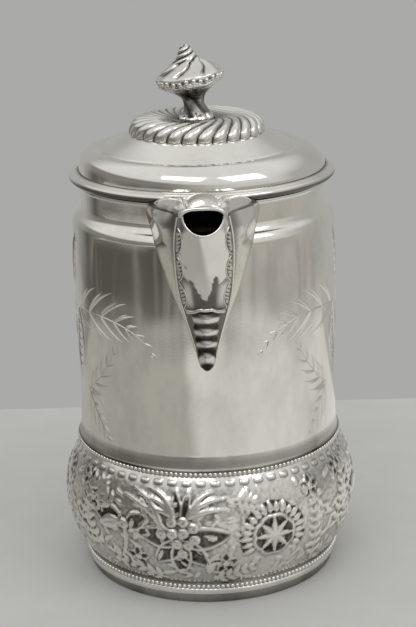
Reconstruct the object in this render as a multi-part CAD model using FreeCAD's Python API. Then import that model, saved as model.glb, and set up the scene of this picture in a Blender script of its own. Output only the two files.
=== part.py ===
import FreeCAD, Part
import math
import os

# A silver-plated coffee pot, in millimetres. Z is up, the origin is the centre of the foot on the table,
# the spout points along -Y and the handle along +Y. Each sheet-metal piece, casting and pin is its own solid.

V = FreeCAD.Vector
X_AXIS = V(1, 0, 0)
Y_AXIS = V(0, 1, 0)
Z_AXIS = V(0, 0, 1)
ORIGIN = V(0, 0, 0)

# Sheet metal
wall = 1.2
lid_gap = 0.3

# Drum, shoulder and neck
body_radius = 66.0
drum_height = 112.0
flare_height = 5.5
flare = 1.4
neck_inset = 5.0
shoulder_height = 9.8
neck_height = 11.2
rim_wire_height = 3.4
rim_wire_proud = 1.6

# Foot ring and bottom plate
foot_inset = 2.0
foot_lip = 2.0
foot_height = 8.4
foot_step_z = 4.5
foot_rest_width = 5.5
foot_wall = 3.8
floor_ledge = 2.0
floor_z = 6.4

# Beaded wires in the two seams of the base band
bead_height = 2.4
bead_proud = 1.4
bead_seat = 2.2

# Bulged base band
band_height = 58.0
band_bottom_inset = 0.5
band_top_proud = 0.2
band_bulge = 9.2
band_bulge_z = 33.2

# Strainer holes behind the spout
strainer_hole_radius = 1.6
strainer_pitch = 4.6
strainer_rows = 5
strainer_columns = 5
strainer_top_drop = 24.0

# Spout: horizontal sections at a drop below the mouth of the pot, each with the half width where the wings
# meet the body, the half width of the front panel, and how far the panel's edge and keel stand off the body
spout_sections = [
    (-6.0, 25.5, 10.8, 28.5, 38.8),
    (9.0, 23.5, 13.2, 24.0, 36.0),
    (24.0, 20.3, 13.3, 17.0, 29.5),
    (39.0, 16.7, 12.2, 10.5, 20.5),
    (52.0, 12.0, 9.6, 5.5, 12.5),
    (64.0, 8.0, 6.5, 2.5, 7.0),
    (80.0, 3.2, 2.6, 0.6, 1.8),
]
spout_root = 18.0
spout_hollow_count = 5
spout_rim_drop = 0.3
spout_rim_tilt = 5.1
spout_rim_start = 1.0
pour_radius = 9.2
pour_depth = 5.8
drop_ridges = [(52.5, 7.2, 5.0), (60.0, 6.4, 4.8), (67.0, 5.4, 4.4), (73.6, 4.2, 4.0)]
drop_proud = 2.0

# Handle: sockets, insulators and a grip whose centre line is a chain of tangent arcs
handle_z = 172.0
socket_length = 12.0
socket_root_radius = 9.0
socket_end_radius = 6.8
insulator_length = 6.0
insulator_radius = 7.4
tenon_radius = 3.0
tenon_length = 6.5
handle_pin_radius = 0.8
grip_run = 8.0
grip_turns = [(22.0, 95.0), (80.0, 35.0), (18.0, 50.0)]
grip_half_width = 6.6
grip_half_depth = 5.0

# Lid: flange, bezel, dome and crown
flange_overhang = 0.3
flange_edge_height = 3.6
flange_rise = 1.2
flange_land = 3.2
bezel_clearance = 0.6
bezel_depth = 6.0
dome_inset = 4.7
dome_rise = 10.2
step_inset = 13.2
step_depth = 0.5
crown_inset = 13.9
crown_rise = 6.3
crown_flat_radius = 8.0
crown_flat_rise = 3.2

# Cover over the spout, fixed to the lid's flange
cover_thickness = 2.2
cover_overhang = 0.4
cover_edge_radius = 1.0
hood_half_width = 10.6
hood_height = 4.7
hood_wall = 1.5
hood_nose = 0.6

# Gadrooned ring and finial
gadroon_inset = 0.5
gadroon_crest_inset = 16.0
gadroon_height = 6.6
gadroon_seat_radius = 9.4
gadroon_seat_rise = 2.8
gadroon_edge = 0.8
finial_lean = 8.0
finial_base_radius = 8.9
finial_base_height = 2.6
finial_waist_radius = 5.8
finial_waist_height = 9.0
finial_cap_radius = 16.2
finial_cap_height = 18.0
finial_band_height = 4.2
finial_throat_radius = 4.3
finial_throat_height = 30.4
finial_height = 38.0
finial_tip_radius = 1.2
stud_radius = 2.0
stud_clearance = 0.2
stud_tail = 2.0
washer_radius = 6.5
washer_thickness = 1.2
nut_width = 7.0
nut_height = 3.2

# Hinge
knuckle_radius = 2.6
hinge_pin_radius = 1.1
hinge_pin_clearance = 0.05
hinge_gap = 0.5
hinge_height = 1.9
knuckle_length = 6.0
knuckle_gap = 0.25
outer_knuckle_length = 6.0
hinge_arm_drop = 7.0
hinge_strap_thickness = 1.5

# Radii worked out from the drum
neck_radius = body_radius - neck_inset
foot_radius = body_radius - foot_inset
band_bottom_radius = body_radius - band_bottom_inset
band_top_radius = body_radius + band_top_proud
band_bulge_radius = body_radius + band_bulge
flange_radius = body_radius + flange_overhang
dome_radius = flange_radius - dome_inset
step_radius = dome_radius - step_inset
crown_radius = step_radius - crown_inset
gadroon_radius = crown_radius - gadroon_inset
gadroon_crest_radius = gadroon_radius - gadroon_crest_inset
bezel_radius = neck_radius - wall - bezel_clearance

# Heights worked out from the stack
lower_bead_z = foot_height
band_z = lower_bead_z + bead_height
upper_bead_z = band_z + band_height
drum_z = upper_bead_z + bead_height
shoulder_z = drum_z + drum_height
neck_z = shoulder_z + shoulder_height
mouth_z = neck_z + neck_height
flange_z = mouth_z + lid_gap
flange_top_z = flange_z + flange_edge_height + flange_rise
step_z = flange_top_z + dome_rise
crown_z = step_z + crown_rise
crown_flat_z = crown_z + crown_flat_rise
gadroon_seat_z = crown_flat_z + gadroon_seat_rise
hinge_y = flange_radius + hinge_gap + knuckle_radius
hinge_z = flange_z + hinge_height
FAR = 4 * body_radius


def outline_face(start, *steps):
    """A face in the XZ plane. A step is a point (r, z) for a line, or (middle, end) points for an arc."""
    edges = []
    here = start
    for step in list(steps) + [start]:
        if isinstance(step[0], tuple):
            middle, there = step
            edges.append(Part.Arc(at(here), at(middle), at(there)).toShape())
        else:
            there = step
            if math.dist(here, there) > 1e-6:
                edges.append(Part.LineSegment(at(here), at(there)).toShape())
        here = there
    return Part.Face(Part.Wire(edges))


def at(point):
    return V(point[0], 0, point[1])


def lathe(start, *steps):
    """A solid turned about the Z axis from an outline in radius and height."""
    return outline_face(start, *steps).revolve(ORIGIN, Z_AXIS, 360)


def arc_middle(centre, radius, start, end):
    """The point halfway along the shorter arc between two points of a circle."""
    a = math.atan2(start[1] - centre[1], start[0] - centre[0])
    b = math.atan2(end[1] - centre[1], end[0] - centre[0])
    half = (a + b) / 2
    return (centre[0] + radius * math.cos(half), centre[1] + radius * math.sin(half))


def circle_through(p, q, s):
    """Centre and radius of the circle through three points."""
    circle = Part.Arc(at(p), at(q), at(s)).toShape().Curve
    return (circle.Center.x, circle.Center.z), circle.Radius


def on_arc(centre, radius, z):
    """The outer point of a circle at a height."""
    return (centre[0] + math.sqrt(radius**2 - (z - centre[1]) ** 2), z)


def cylinder(radius, length, base, direction):
    return Part.makeCylinder(radius, length, base, direction)


def box(x0, x1, y0, y1, z0, z1):
    return Part.makeBox(x1 - x0, y1 - y0, z1 - z0, V(x0, y0, z0))


# Foot ring, with a ledge that carries the bottom plate


def foot_ring():
    inner = foot_radius - foot_wall
    lip = foot_radius + foot_lip
    return lathe(
        (foot_radius - foot_rest_width, 0),
        (foot_radius, 0),
        (foot_radius, foot_step_z),
        (lip, foot_step_z + foot_lip / 2),
        (lip, foot_height - foot_lip / 2),
        (lip - foot_lip / 2, foot_height),
        (inner + floor_ledge, foot_height),
        (inner + floor_ledge, floor_z),
        (inner, floor_z),
        (inner, wall),
        (foot_radius - foot_rest_width, wall),
    )


def bottom_plate():
    return cylinder(foot_radius - foot_wall + floor_ledge, wall, V(0, 0, floor_z), Z_AXIS)


# Beaded wires: a flat seat between two sheets, and a half-round outer edge


def bead_ring(z, radius):
    top = z + bead_height
    middle = (radius + bead_proud, z + bead_height / 2)
    return lathe((radius - bead_seat, z), (radius, z), (middle, (radius, top)), (radius - bead_seat, top))


# Base band


def base_band():
    bottom = (band_bottom_radius, band_z)
    bulge = (band_bulge_radius, band_z + band_bulge_z)
    top = (band_top_radius, upper_bead_z)
    centre, radius = circle_through(bottom, bulge, top)
    inner_top = on_arc(centre, radius - wall, upper_bead_z)
    inner_bottom = on_arc(centre, radius - wall, band_z)
    inner_middle = arc_middle(centre, radius - wall, inner_top, inner_bottom)
    return lathe(bottom, (bulge, top), inner_top, (inner_middle, inner_bottom))


# Drum with its flared seam, shoulder and neck in one sheet


def s_curve(lower, upper):
    """Two equal tangent arcs from a vertical wall to a narrower vertical wall above it, as two steps."""
    run = lower[0] - upper[0]
    rise = upper[1] - lower[1]
    radius = (run**2 + rise**2) / (4 * run)
    middle = ((lower[0] + upper[0]) / 2, (lower[1] + upper[1]) / 2)
    first = arc_middle((lower[0] - radius, lower[1]), radius, lower, middle)
    second = (lower[0] + upper[0] - first[0], lower[1] + upper[1] - first[1])
    return first, middle, second


def drum_outline(offset, lowest):
    """The drum's outer or inner line, upwards from its seam to the mouth, as a start point and steps."""
    outer = body_radius - offset
    neck = neck_radius - offset
    lower = (outer, shoulder_z)
    upper = (neck, neck_z)
    first, middle, second = s_curve(lower, upper)
    flare_top = (outer, lowest + flare_height)
    flare_end = (outer + flare, lowest)
    flare_middle = (outer + flare / 4, lowest + flare_height / 2)
    start = flare_end
    steps = [(flare_middle, flare_top), lower, (first, middle), (second, upper), (neck, mouth_z)]
    return start, steps


def reversed_steps(start, steps):
    """The same line walked from its end back to its start."""
    points = [start] + [step[1] if isinstance(step[0], tuple) else step for step in steps]
    back = []
    for index in range(len(steps) - 1, -1, -1):
        step = steps[index]
        target = points[index]
        back.append((step[0], target) if isinstance(step[0], tuple) else target)
    return points[-1], back


def drum_sheet():
    outer_start, outer_steps = drum_outline(0, drum_z)
    inner_start, inner_steps = drum_outline(wall, drum_z)
    inner_end, inner_back = reversed_steps(inner_start, inner_steps)
    return lathe(outer_start, *outer_steps, inner_end, *inner_back)


def drum_envelope():
    """The full space inside the drum's outer line, for trimming what is soldered to it."""
    start, steps = drum_outline(0, drum_z)
    return lathe((0, drum_z), start, *steps, (0, mouth_z))


def strainer_holes():
    """Rows of round holes through the front of the drum, every other row moved by half a pitch."""
    holes = []
    row_pitch = strainer_pitch * math.sqrt(3) / 2
    for row in range(strainer_rows):
        columns = strainer_columns - row % 2
        z = mouth_z - strainer_top_drop - row * row_pitch
        for column in range(columns):
            x = (column - (columns - 1) / 2) * strainer_pitch
            holes.append(cylinder(strainer_hole_radius, body_radius, V(x, 0, z), -Y_AXIS))
    return Part.makeCompound(holes)


def body_drum():
    return drum_sheet().cut(strainer_holes())


def mouth_rim_wire():
    low = mouth_z - rim_wire_height
    middle = (neck_radius + rim_wire_proud, mouth_z - rim_wire_height / 2)
    return lathe((neck_radius, low), (middle, (neck_radius, mouth_z)))


# Spout: a beak of sheet with a broad front panel, open along its top


def spout_wire(section, inset):
    """One horizontal outline: straight roots inside the body, two wings and a round front panel."""
    drop, wing, panel, edge, keel = section
    z = mouth_z - drop
    wing = wing - inset
    panel = panel - inset
    root_y = -(body_radius - spout_root)
    wing_y = -math.sqrt(body_radius**2 - wing**2)
    edge_y = -(body_radius + edge - inset / 2)
    keel_y = -(body_radius + keel - inset)
    corners = [
        V(panel, edge_y, z),
        V(wing, wing_y, z),
        V(wing, root_y, z),
        V(-wing, root_y, z),
        V(-wing, wing_y, z),
        V(-panel, edge_y, z),
    ]
    edges = [Part.Arc(corners[-1], V(0, keel_y, z), corners[0]).toShape()]
    edges += [Part.LineSegment(a, b).toShape() for a, b in zip(corners, corners[1:])]
    return Part.Wire(edges)


def spout_block(inset, sections):
    return Part.makeLoft([spout_wire(section, inset) for section in sections], True, False)


def above_spout_rim(gap):
    """Everything above the plane of the spout's rim, which tilts up towards the mouth."""
    start = V(0, -(body_radius + spout_rim_start), mouth_z - spout_rim_drop + gap)
    block = box(-FAR, FAR, start.y - FAR, start.y + FAR, start.z, start.z + FAR)
    block.rotate(start, X_AXIS, -spout_rim_tilt)
    return block


def mouth_y():
    return -(body_radius + spout_sections[0][4])


def pour_notch():
    """A round-bottomed notch through the front panel, which the liquid leaves by."""
    axis_z = mouth_z - pour_depth + pour_radius
    depth = spout_sections[0][4] - spout_sections[0][3] + wall
    return cylinder(pour_radius, depth + wall, V(0, mouth_y() - wall, axis_z), Y_AXIS)


def spout_shell():
    outer = spout_block(0, spout_sections)
    inner = spout_block(wall, spout_sections[:spout_hollow_count])
    shell = outer.cut(inner).cut(drum_envelope()).cut(mouth_rim_wire())
    shell = shell.cut(above_spout_rim(0)).cut(pour_notch())
    return shell


def keel_point(drop):
    """The point of the spout's keel at a drop below the mouth, between the two nearest sections."""
    for upper, lower in zip(spout_sections, spout_sections[1:]):
        if upper[0] <= drop <= lower[0]:
            share = (drop - upper[0]) / (lower[0] - upper[0])
            reach = upper[4] + share * (lower[4] - upper[4])
            return V(0, -(body_radius + reach), mouth_z - drop)


def spout_drop():
    """The cast drop under the front panel: ridges that shrink downwards, bedded on the keel."""
    solid = None
    for drop, half_width, radius in drop_ridges:
        centre = keel_point(drop) + V(0, radius - drop_proud, 0)
        reach = max(half_width - radius, 0.2)
        ridge = cylinder(radius, 2 * reach, centre - X_AXIS * reach, X_AXIS)
        for side in (-1, 1):
            ridge = ridge.fuse(Part.makeSphere(radius, centre + X_AXIS * (side * reach)))
        solid = ridge if solid is None else solid.fuse(ridge)
    solid = solid.removeSplitter().cut(spout_block(0, spout_sections)).cut(drum_envelope())
    return max(solid.Solids, key=lambda piece: piece.Volume)


# Handle


def chain_of_arcs(start, run):
    """The grip's centre line in the YZ plane: a straight run outwards, then arcs that turn downwards."""
    heading = 0.0
    here = start + Y_AXIS * run
    edges = [Part.LineSegment(start, here).toShape()]
    for radius, turn in grip_turns:
        centre = here + right_of(heading) * radius
        middle = centre - right_of(heading - turn / 2) * radius
        heading -= turn
        there = centre - right_of(heading) * radius
        edges.append(Part.Arc(here, middle, there).toShape())
        here = there
    return Part.Wire(edges), here


def right_of(heading):
    angle = math.radians(heading)
    return V(0, math.sin(angle), -math.cos(angle))


socket_y = math.sqrt(body_radius**2 - socket_root_radius**2) - wall
insulator_y = body_radius + socket_length
grip_y = insulator_y + insulator_length
grip_line, grip_end = chain_of_arcs(V(0, grip_y, handle_z), grip_run)
lower_handle_z = grip_end.z


def handle_bore(y0, y1, z):
    return cylinder(tenon_radius, y1 - y0, V(0, y0, z), Y_AXIS)


def handle_pin_points():
    """Where the cross pins go: one through each socket and one through each end of the grip."""
    points = []
    for z, insulator in ((handle_z, insulator_y), (lower_handle_z, lower_insulator_y())):
        points.append(V(0, insulator - tenon_length / 2, z))
        points.append(V(0, insulator + insulator_length + tenon_length / 2, z))
    return points


def lower_insulator_y():
    return grip_end.y - insulator_length


def handle_pins():
    length = 2 * grip_half_width - wall
    half = X_AXIS * (length / 2)
    pins = [cylinder(handle_pin_radius, length, point - half, X_AXIS) for point in handle_pin_points()]
    return Part.makeCompound(pins)


def handle_socket(z, end_y):
    length = end_y - socket_y
    cone = Part.makeCone(socket_root_radius, socket_end_radius, length, V(0, socket_y, z), Y_AXIS)
    cone = cone.cut(drum_envelope())
    return cone.cut(handle_bore(end_y - tenon_length, end_y, z)).cut(handle_pins())


def handle_insulator(z, start_y):
    """A disc that keeps the heat from the grip, with a tenon at each side."""
    disc = cylinder(insulator_radius, insulator_length, V(0, start_y, z), Y_AXIS)
    tenon = handle_bore(start_y - tenon_length, start_y + insulator_length + tenon_length, z)
    return disc.fuse(tenon).removeSplitter().cut(handle_pins())


def handle_grip():
    section = Part.Wire(Part.Ellipse(ORIGIN, grip_half_width, grip_half_depth).toShape())
    section.Placement = FreeCAD.Placement(V(0, grip_y, handle_z), FreeCAD.Rotation(X_AXIS, 90))
    grip = grip_line.makePipeShell([section], True, True)
    upper = handle_bore(grip_y, grip_y + tenon_length, handle_z)
    lower = handle_bore(grip_end.y, grip_end.y + tenon_length, lower_handle_z)
    return grip.cut(upper).cut(lower).cut(handle_pins())


# Lid


def flange_envelope():
    """The flange's outer form as a full disc, for trimming what is soldered to it."""
    return lathe((0, flange_z), *flange_edge(), (0, flange_top_z))


def flange_edge():
    """The flange's rolled edge and sloping top, from its underside to the land that carries the dome."""
    roll = flange_edge_height / 2
    low = (flange_radius - roll, flange_z)
    high = (flange_radius - roll, flange_z + flange_edge_height)
    return [low, ((flange_radius, flange_z + roll), high), (dome_radius, flange_top_z)]


def lid_flange():
    land = dome_radius - flange_land
    inner_z = flange_z + wall
    return lathe(
        (bezel_radius, flange_z),
        *flange_edge(),
        (land, flange_top_z),
        (land, flange_top_z - wall),
        (dome_radius, flange_top_z - wall),
        (flange_radius - flange_edge_height, inner_z),
        (bezel_radius, inner_z),
    )


def lid_bezel():
    """The ring that drops into the mouth, soldered under and inside the flange."""
    return lathe(
        (bezel_radius - wall, flange_z - bezel_depth),
        (bezel_radius, flange_z - bezel_depth),
        (bezel_radius, flange_z + wall),
        (bezel_radius - wall, flange_z + wall),
    )


def dome_outer():
    """The dome's outer line from the flange to its centre, as a start point and steps."""
    start = (dome_radius, flange_top_z)
    top = (step_radius + 2 * step_depth, step_z)
    across = dome_radius - top[0]
    shoulder = (top[0] + across * math.sqrt(0.5), flange_top_z + dome_rise * math.sqrt(0.5) + wall / 2)
    return start, [
        (shoulder, top),
        (step_radius, step_z - step_depth),
        (step_radius - step_depth, step_z),
        (crown_radius, crown_z),
        (crown_flat_radius, crown_flat_z),
        (stud_radius + stud_clearance, crown_flat_z),
    ]


def dome_inner():
    """The dome's inner line from its centre back to the flange."""
    top = (step_radius - step_depth, step_z - wall)
    low = (dome_radius - wall, flange_top_z)
    across = low[0] - top[0]
    shoulder = (top[0] + across * math.sqrt(0.5), flange_top_z + (dome_rise - wall) * math.sqrt(0.5))
    return [
        (stud_radius + stud_clearance, crown_flat_z - wall),
        (crown_flat_radius, crown_flat_z - wall),
        (crown_radius, crown_z - wall),
        top,
        (shoulder, low),
    ]


def lid_dome():
    start, steps = dome_outer()
    return lathe(start, *steps, *dome_inner())


def dome_envelope():
    start, steps = dome_outer()
    return lathe((0, flange_top_z), start, *steps[:-1], (0, crown_flat_z))


def hood_bar(half_width, height, length):
    """An elliptical bar along the spout's rim, from inside the flange out to the mouth."""
    start = V(0, -(body_radius + spout_rim_start), mouth_z - spout_rim_drop + lid_gap)
    ellipse = Part.Ellipse(ORIGIN, half_width, height)
    face = Part.Face(Part.Wire(ellipse.toShape()))
    face.Placement = FreeCAD.Placement(start, FreeCAD.Rotation(X_AXIS, 90))
    bar = face.extrude(-Y_AXIS * length)
    back = face.extrude(Y_AXIS * spout_root)
    bar = bar.fuse(back).removeSplitter()
    bar.rotate(start, X_AXIS, -spout_rim_tilt)
    return bar


def cover_plate():
    """The flat lobes that close the spout's open top, a little wider than the spout."""
    drop, wing, panel, edge, keel = spout_sections[0]
    face = Part.Face(spout_wire((0, wing, panel, edge, keel - hood_nose), -cover_overhang))
    plate = face.extrude(Z_AXIS * FAR)
    plate.translate(V(0, 0, -FAR / 2))
    plate = plate.common(above_spout_rim(lid_gap)).cut(above_spout_rim(lid_gap + cover_thickness))
    return plate


def spout_cover():
    length = spout_sections[0][4] - spout_rim_start - hood_nose
    hood = hood_bar(hood_half_width, hood_height, length).common(above_spout_rim(lid_gap))
    hollow = hood_bar(hood_half_width - hood_wall, hood_height - hood_wall, FAR)
    cover = cover_plate().fuse(hood).removeSplitter().cut(hollow)
    cover = cover.cut(flange_envelope()).cut(dome_envelope())
    inside = cylinder(flange_radius - flange_edge_height / 2, FAR, V(0, 0, flange_z - FAR / 2), Z_AXIS)
    return cover.cut(inside)


# Gadrooned ring: a swelling disc soldered on the crown


def gadroon_profile():
    """Edge, shoulder and crest of the ring above the crown it sits on."""
    edge = (gadroon_radius, crown_line_z(gadroon_radius) + gadroon_edge)
    crest = (gadroon_crest_radius, crown_flat_z + gadroon_height - crown_flat_rise)
    seat = (gadroon_seat_radius, gadroon_seat_z)
    swell = (
        crest[0] + (edge[0] - crest[0]) * 0.72,
        edge[1] + (crest[1] - edge[1]) * 0.66,
    )
    return edge, swell, crest, seat


def crown_line_z(radius):
    share = (crown_radius - radius) / (crown_radius - crown_flat_radius)
    return crown_z + share * crown_flat_rise


def gadroon_ring():
    edge, swell, crest, seat = gadroon_profile()
    hole = stud_radius + stud_clearance
    return lathe(
        (hole, crown_flat_z),
        (crown_flat_radius, crown_flat_z),
        (gadroon_radius, crown_line_z(gadroon_radius)),
        edge,
        (swell, crest),
        seat,
        (hole, gadroon_seat_z),
    )


# Finial: a cast turban on a waisted stem that leans to one side, with a screw stud below


def between(low, high, share_r, share_z):
    """A point inside the box spanned by two outline points."""
    return (low[0] + (high[0] - low[0]) * share_r, low[1] + (high[1] - low[1]) * share_z)


def finial():
    z = gadroon_seat_z
    base_top = z + finial_base_height
    top = z + finial_height
    rim = finial_cap_radius - finial_tip_radius
    waist = (finial_waist_radius, z + finial_waist_height)
    cap_low = (rim, z + finial_cap_height)
    cap_high = (rim, cap_low[1] + finial_band_height)
    cap_edge = (finial_cap_radius, cap_low[1] + finial_band_height / 2)
    throat = (finial_throat_radius, z + finial_throat_height)
    tip = (2.4 * finial_tip_radius, top - 2 * finial_tip_radius)
    tip_flat = (finial_tip_radius, top)
    leaning = lathe(
        (0, base_top),
        (finial_waist_radius, base_top),
        waist,
        (between(waist, cap_low, 0.3, 0.62), cap_low),
        (cap_edge, cap_high),
        (between(throat, cap_high, 0.42, 0.48), throat),
        tip,
        (between(tip_flat, tip, 0.75, 0.4), tip_flat),
        (0, top),
    )
    leaning.rotate(V(0, 0, base_top), Y_AXIS, -finial_lean)
    side = finial_base_radius - finial_base_height / 2
    base = lathe(
        (0, z),
        (side, z),
        ((finial_base_radius, z + finial_base_height / 2), (side, base_top)),
        (finial_waist_radius, base_top + finial_base_height),
        (0, base_top + finial_base_height),
    )
    bottom = crown_flat_z - wall - washer_thickness - nut_height - stud_tail
    stud = cylinder(stud_radius, z - bottom, V(0, 0, bottom), Z_AXIS)
    return leaning.fuse(base).fuse(stud).removeSplitter()


def finial_washer():
    low = crown_flat_z - wall - washer_thickness
    disc = cylinder(washer_radius, washer_thickness, V(0, 0, low), Z_AXIS)
    return disc.cut(cylinder(stud_radius, washer_thickness, V(0, 0, low), Z_AXIS))


def finial_nut():
    low = crown_flat_z - wall - washer_thickness - nut_height
    half = nut_width / 2
    block = box(-half, half, -half, half, low, low + nut_height)
    return block.cut(cylinder(stud_radius, nut_height, V(0, 0, low), Z_AXIS))


# Hinge: two outer knuckles on the neck, one centre knuckle on the lid, and a pin through all three


def hinge_half_length():
    return knuckle_length / 2 + knuckle_gap + outer_knuckle_length


def hinge_line(x0, x1, radius):
    return cylinder(radius, x1 - x0, V(x0, hinge_y, hinge_z), X_AXIS)


def hinge_pin():
    half = hinge_half_length()
    return hinge_line(-half, half, hinge_pin_radius)


def hinge_body_leaf():
    """A bracket soldered to the neck under the lid, rising behind the lid to its two knuckles."""
    half = hinge_half_length()
    inner = knuckle_length / 2 + knuckle_gap
    shelf_top = flange_z - 2 * lid_gap
    shelf = box(-half, half, 0, hinge_y + knuckle_radius, mouth_z - hinge_arm_drop, shelf_top)
    shelf = shelf.cut(drum_envelope()).cut(mouth_rim_wire())
    leaf = shelf
    for side in (-1, 1):
        low, high = sorted((side * inner, side * half))
        web = box(low, high, hinge_y - knuckle_radius, hinge_y + knuckle_radius, shelf_top, hinge_z)
        leaf = leaf.fuse(web).fuse(hinge_line(low, high, knuckle_radius))
    leaf = leaf.removeSplitter()
    slot = hinge_line(-inner, inner, knuckle_radius + lid_gap)
    leaf = leaf.cut(slot).cut(hinge_line(-half, half, hinge_pin_radius))
    return max(leaf.Solids, key=lambda piece: piece.Volume)


def hinge_lid_leaf():
    """A strap soldered on the flange, with the centre knuckle at its end."""
    half = knuckle_length / 2
    top = hinge_z + knuckle_radius
    strap = box(-half, half, dome_radius - wall, hinge_y, hinge_z, top)
    riser_y = dome_radius + flange_land
    riser = box(-half, half, dome_radius - wall, riser_y, hinge_z, flange_top_z + hinge_strap_thickness)
    leaf = strap.fuse(riser).fuse(hinge_line(-half, half, knuckle_radius)).removeSplitter()
    leaf = leaf.cut(flange_envelope()).cut(dome_envelope())
    leaf = leaf.cut(hinge_line(-half, half, hinge_pin_radius + hinge_pin_clearance))
    return max(leaf.Solids, key=lambda piece: piece.Volume)


def pieces():
    """Every node of the pot, by name."""
    lower_bead_radius = band_bottom_radius
    upper_bead_radius = body_radius + flare - wall / 2
    return {
        "foot_ring": foot_ring(),
        "bottom_plate": bottom_plate(),
        "lower_bead_ring": bead_ring(lower_bead_z, lower_bead_radius),
        "base_band": base_band(),
        "upper_bead_ring": bead_ring(upper_bead_z, upper_bead_radius),
        "body_drum": body_drum(),
        "mouth_rim_wire": mouth_rim_wire(),
        "spout_shell": spout_shell(),
        "spout_drop": spout_drop(),
        "handle_upper_socket": handle_socket(handle_z, insulator_y),
        "handle_upper_insulator": handle_insulator(handle_z, insulator_y),
        "handle_grip": handle_grip(),
        "handle_lower_insulator": handle_insulator(lower_handle_z, lower_insulator_y()),
        "handle_lower_socket": handle_socket(lower_handle_z, lower_insulator_y()),
        "handle_pins": handle_pins(),
        "hinge_body_leaf": hinge_body_leaf(),
        "hinge_pin": hinge_pin(),
        "hinge_lid_leaf": hinge_lid_leaf(),
        "lid_flange": lid_flange(),
        "lid_bezel": lid_bezel(),
        "lid_dome": lid_dome(),
        "spout_cover": spout_cover(),
        "gadroon_ring": gadroon_ring(),
        "finial": finial(),
        "finial_washer": finial_washer(),
        "finial_nut": finial_nut(),
    }


os.makedirs("parts", exist_ok=True)
for name, shape in pieces().items():
    shape.exportStep(f"parts/{name}.step")
    print(f"{name}: {len(shape.Solids)} solid, {shape.Volume:.0f} mm3, valid {shape.isValid()}")
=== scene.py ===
import math

import bmesh
import bpy
import numpy as np
from mathutils import Matrix, Vector


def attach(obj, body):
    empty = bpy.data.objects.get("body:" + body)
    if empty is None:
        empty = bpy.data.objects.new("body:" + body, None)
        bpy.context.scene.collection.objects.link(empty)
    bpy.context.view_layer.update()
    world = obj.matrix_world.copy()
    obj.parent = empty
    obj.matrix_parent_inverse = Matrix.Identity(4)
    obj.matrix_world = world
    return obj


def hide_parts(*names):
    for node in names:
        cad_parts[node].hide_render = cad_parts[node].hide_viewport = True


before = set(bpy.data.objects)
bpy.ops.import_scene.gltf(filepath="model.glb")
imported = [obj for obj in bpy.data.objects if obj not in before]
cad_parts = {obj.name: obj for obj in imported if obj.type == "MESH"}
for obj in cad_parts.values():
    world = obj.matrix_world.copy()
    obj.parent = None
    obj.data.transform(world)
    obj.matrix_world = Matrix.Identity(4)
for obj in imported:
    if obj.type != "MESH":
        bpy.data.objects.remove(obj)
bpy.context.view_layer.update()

# Foot ring: the stepped ring that the pot stands on, spun from thick sheet and plated with silver.
# It is soldered under the base band, and the floor plate lies on the ledge inside it.
# Sizes are in millimetres. Angles count from the spout, which faces -Y, and grow towards +X.
MM = 0.001
TAU = 2 * math.pi
FOOT_TOP = 8.4
FOOT_PAINTED_SHADE = 0.74


def arc(start, middle, end, count):
    """Points along the arc through three points, without its start."""
    (ax, ay), (bx, by), (cx, cy) = start, middle, end
    a, b, c = ax**2 + ay**2, bx**2 + by**2, cx**2 + cy**2
    d = 2 * (ax * (by - cy) + bx * (cy - ay) + cx * (ay - by))
    x = (a * (by - cy) + b * (cy - ay) + c * (ay - by)) / d
    y = (a * (cx - bx) + b * (ax - cx) + c * (bx - ax)) / d
    first, second, last = (math.atan2(v - y, u - x) for u, v in (start, middle, end))
    sweep = (last - first) % TAU
    if (second - first) % TAU > sweep:
        sweep -= TAU
    radius = math.hypot(ax - x, ay - y)
    angles = first + sweep * np.arange(1, count + 1) / count
    return np.stack([x + radius * np.cos(angles), y + radius * np.sin(angles)], axis=-1).tolist()


foot_outline = [(58.5, 0), (63.4, 0), (64, 0.6), (64, 4.3), (64.6, 4.7), (65.7, 5.2), (66, 5.6), (66, 7.2)]
foot_outline += arc((66, 7.2), (65.7, 8.0), (65, FOOT_TOP), 5)
foot_outline += [(62.2, FOOT_TOP), (62.2, 6.4), (60.2, 6.4), (60.2, 1.2), (58.5, 1.2)]


def turns(count):
    """Angles in equal steps once around."""
    return np.arange(count) * TAU / count


def around(radius, angle, z):
    """Points on rings about the pot's axis."""
    radius, angle, z = np.broadcast_arrays(radius, angle, z)
    return np.stack([radius * np.sin(angle), -radius * np.cos(angle), z], axis=-1)


def lathe(outline, segments=256):
    """Points of an outline of (radius, height) turned about the pot's axis."""
    outline = np.asarray(outline, float)
    return around(outline[:, :1], turns(segments), outline[:, 1:])


def sheet(points, tarnish_and_shade=0.0, ring=False, closed=False):
    """A part of a piece: points, quads, and a map of tarnish and painted shade. A ring joins its columns,
    and a closed one its rows.
    """
    points = np.asarray(points, float)
    rows, cols = points.shape[:2]
    r = np.arange(rows if closed else rows - 1)[:, None]
    c = np.arange(cols if ring else cols - 1)[None, :]
    r2, c2 = (r + 1) % rows, (c + 1) % cols
    quads = np.stack([r * cols + c, r * cols + c2, r2 * cols + c2, r2 * cols + c], axis=-1)
    return points.reshape(-1, 3), quads.reshape(-1, 4), np.broadcast_to(tarnish_and_shade, (rows, cols)).ravel()


def smoothstep(low, high, value):
    """A soft step from 0 at low to 1 at high."""
    share = np.clip((value - low) / (high - low), 0, 1)
    return share * share * (3 - 2 * share)


foot_points = lathe(foot_outline)
# Painted shade: the foot's lower step is darkened, standing in for the table's shadow mirrored close to the
# pot.
foot_painted_shade = FOOT_PAINTED_SHADE * smoothstep(5.0, 4.0, foot_points[..., 2])


def colour(code):
    """An sRGB hex colour as linear RGBA."""
    channels = [int(code[i : i + 2], 16) / 255 for i in (1, 3, 5)]
    linear = [c / 12.92 if c <= 0.04045 else ((c + 0.055) / 1.055) ** 2.4 for c in channels]
    return (*linear, 1.0)


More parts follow.
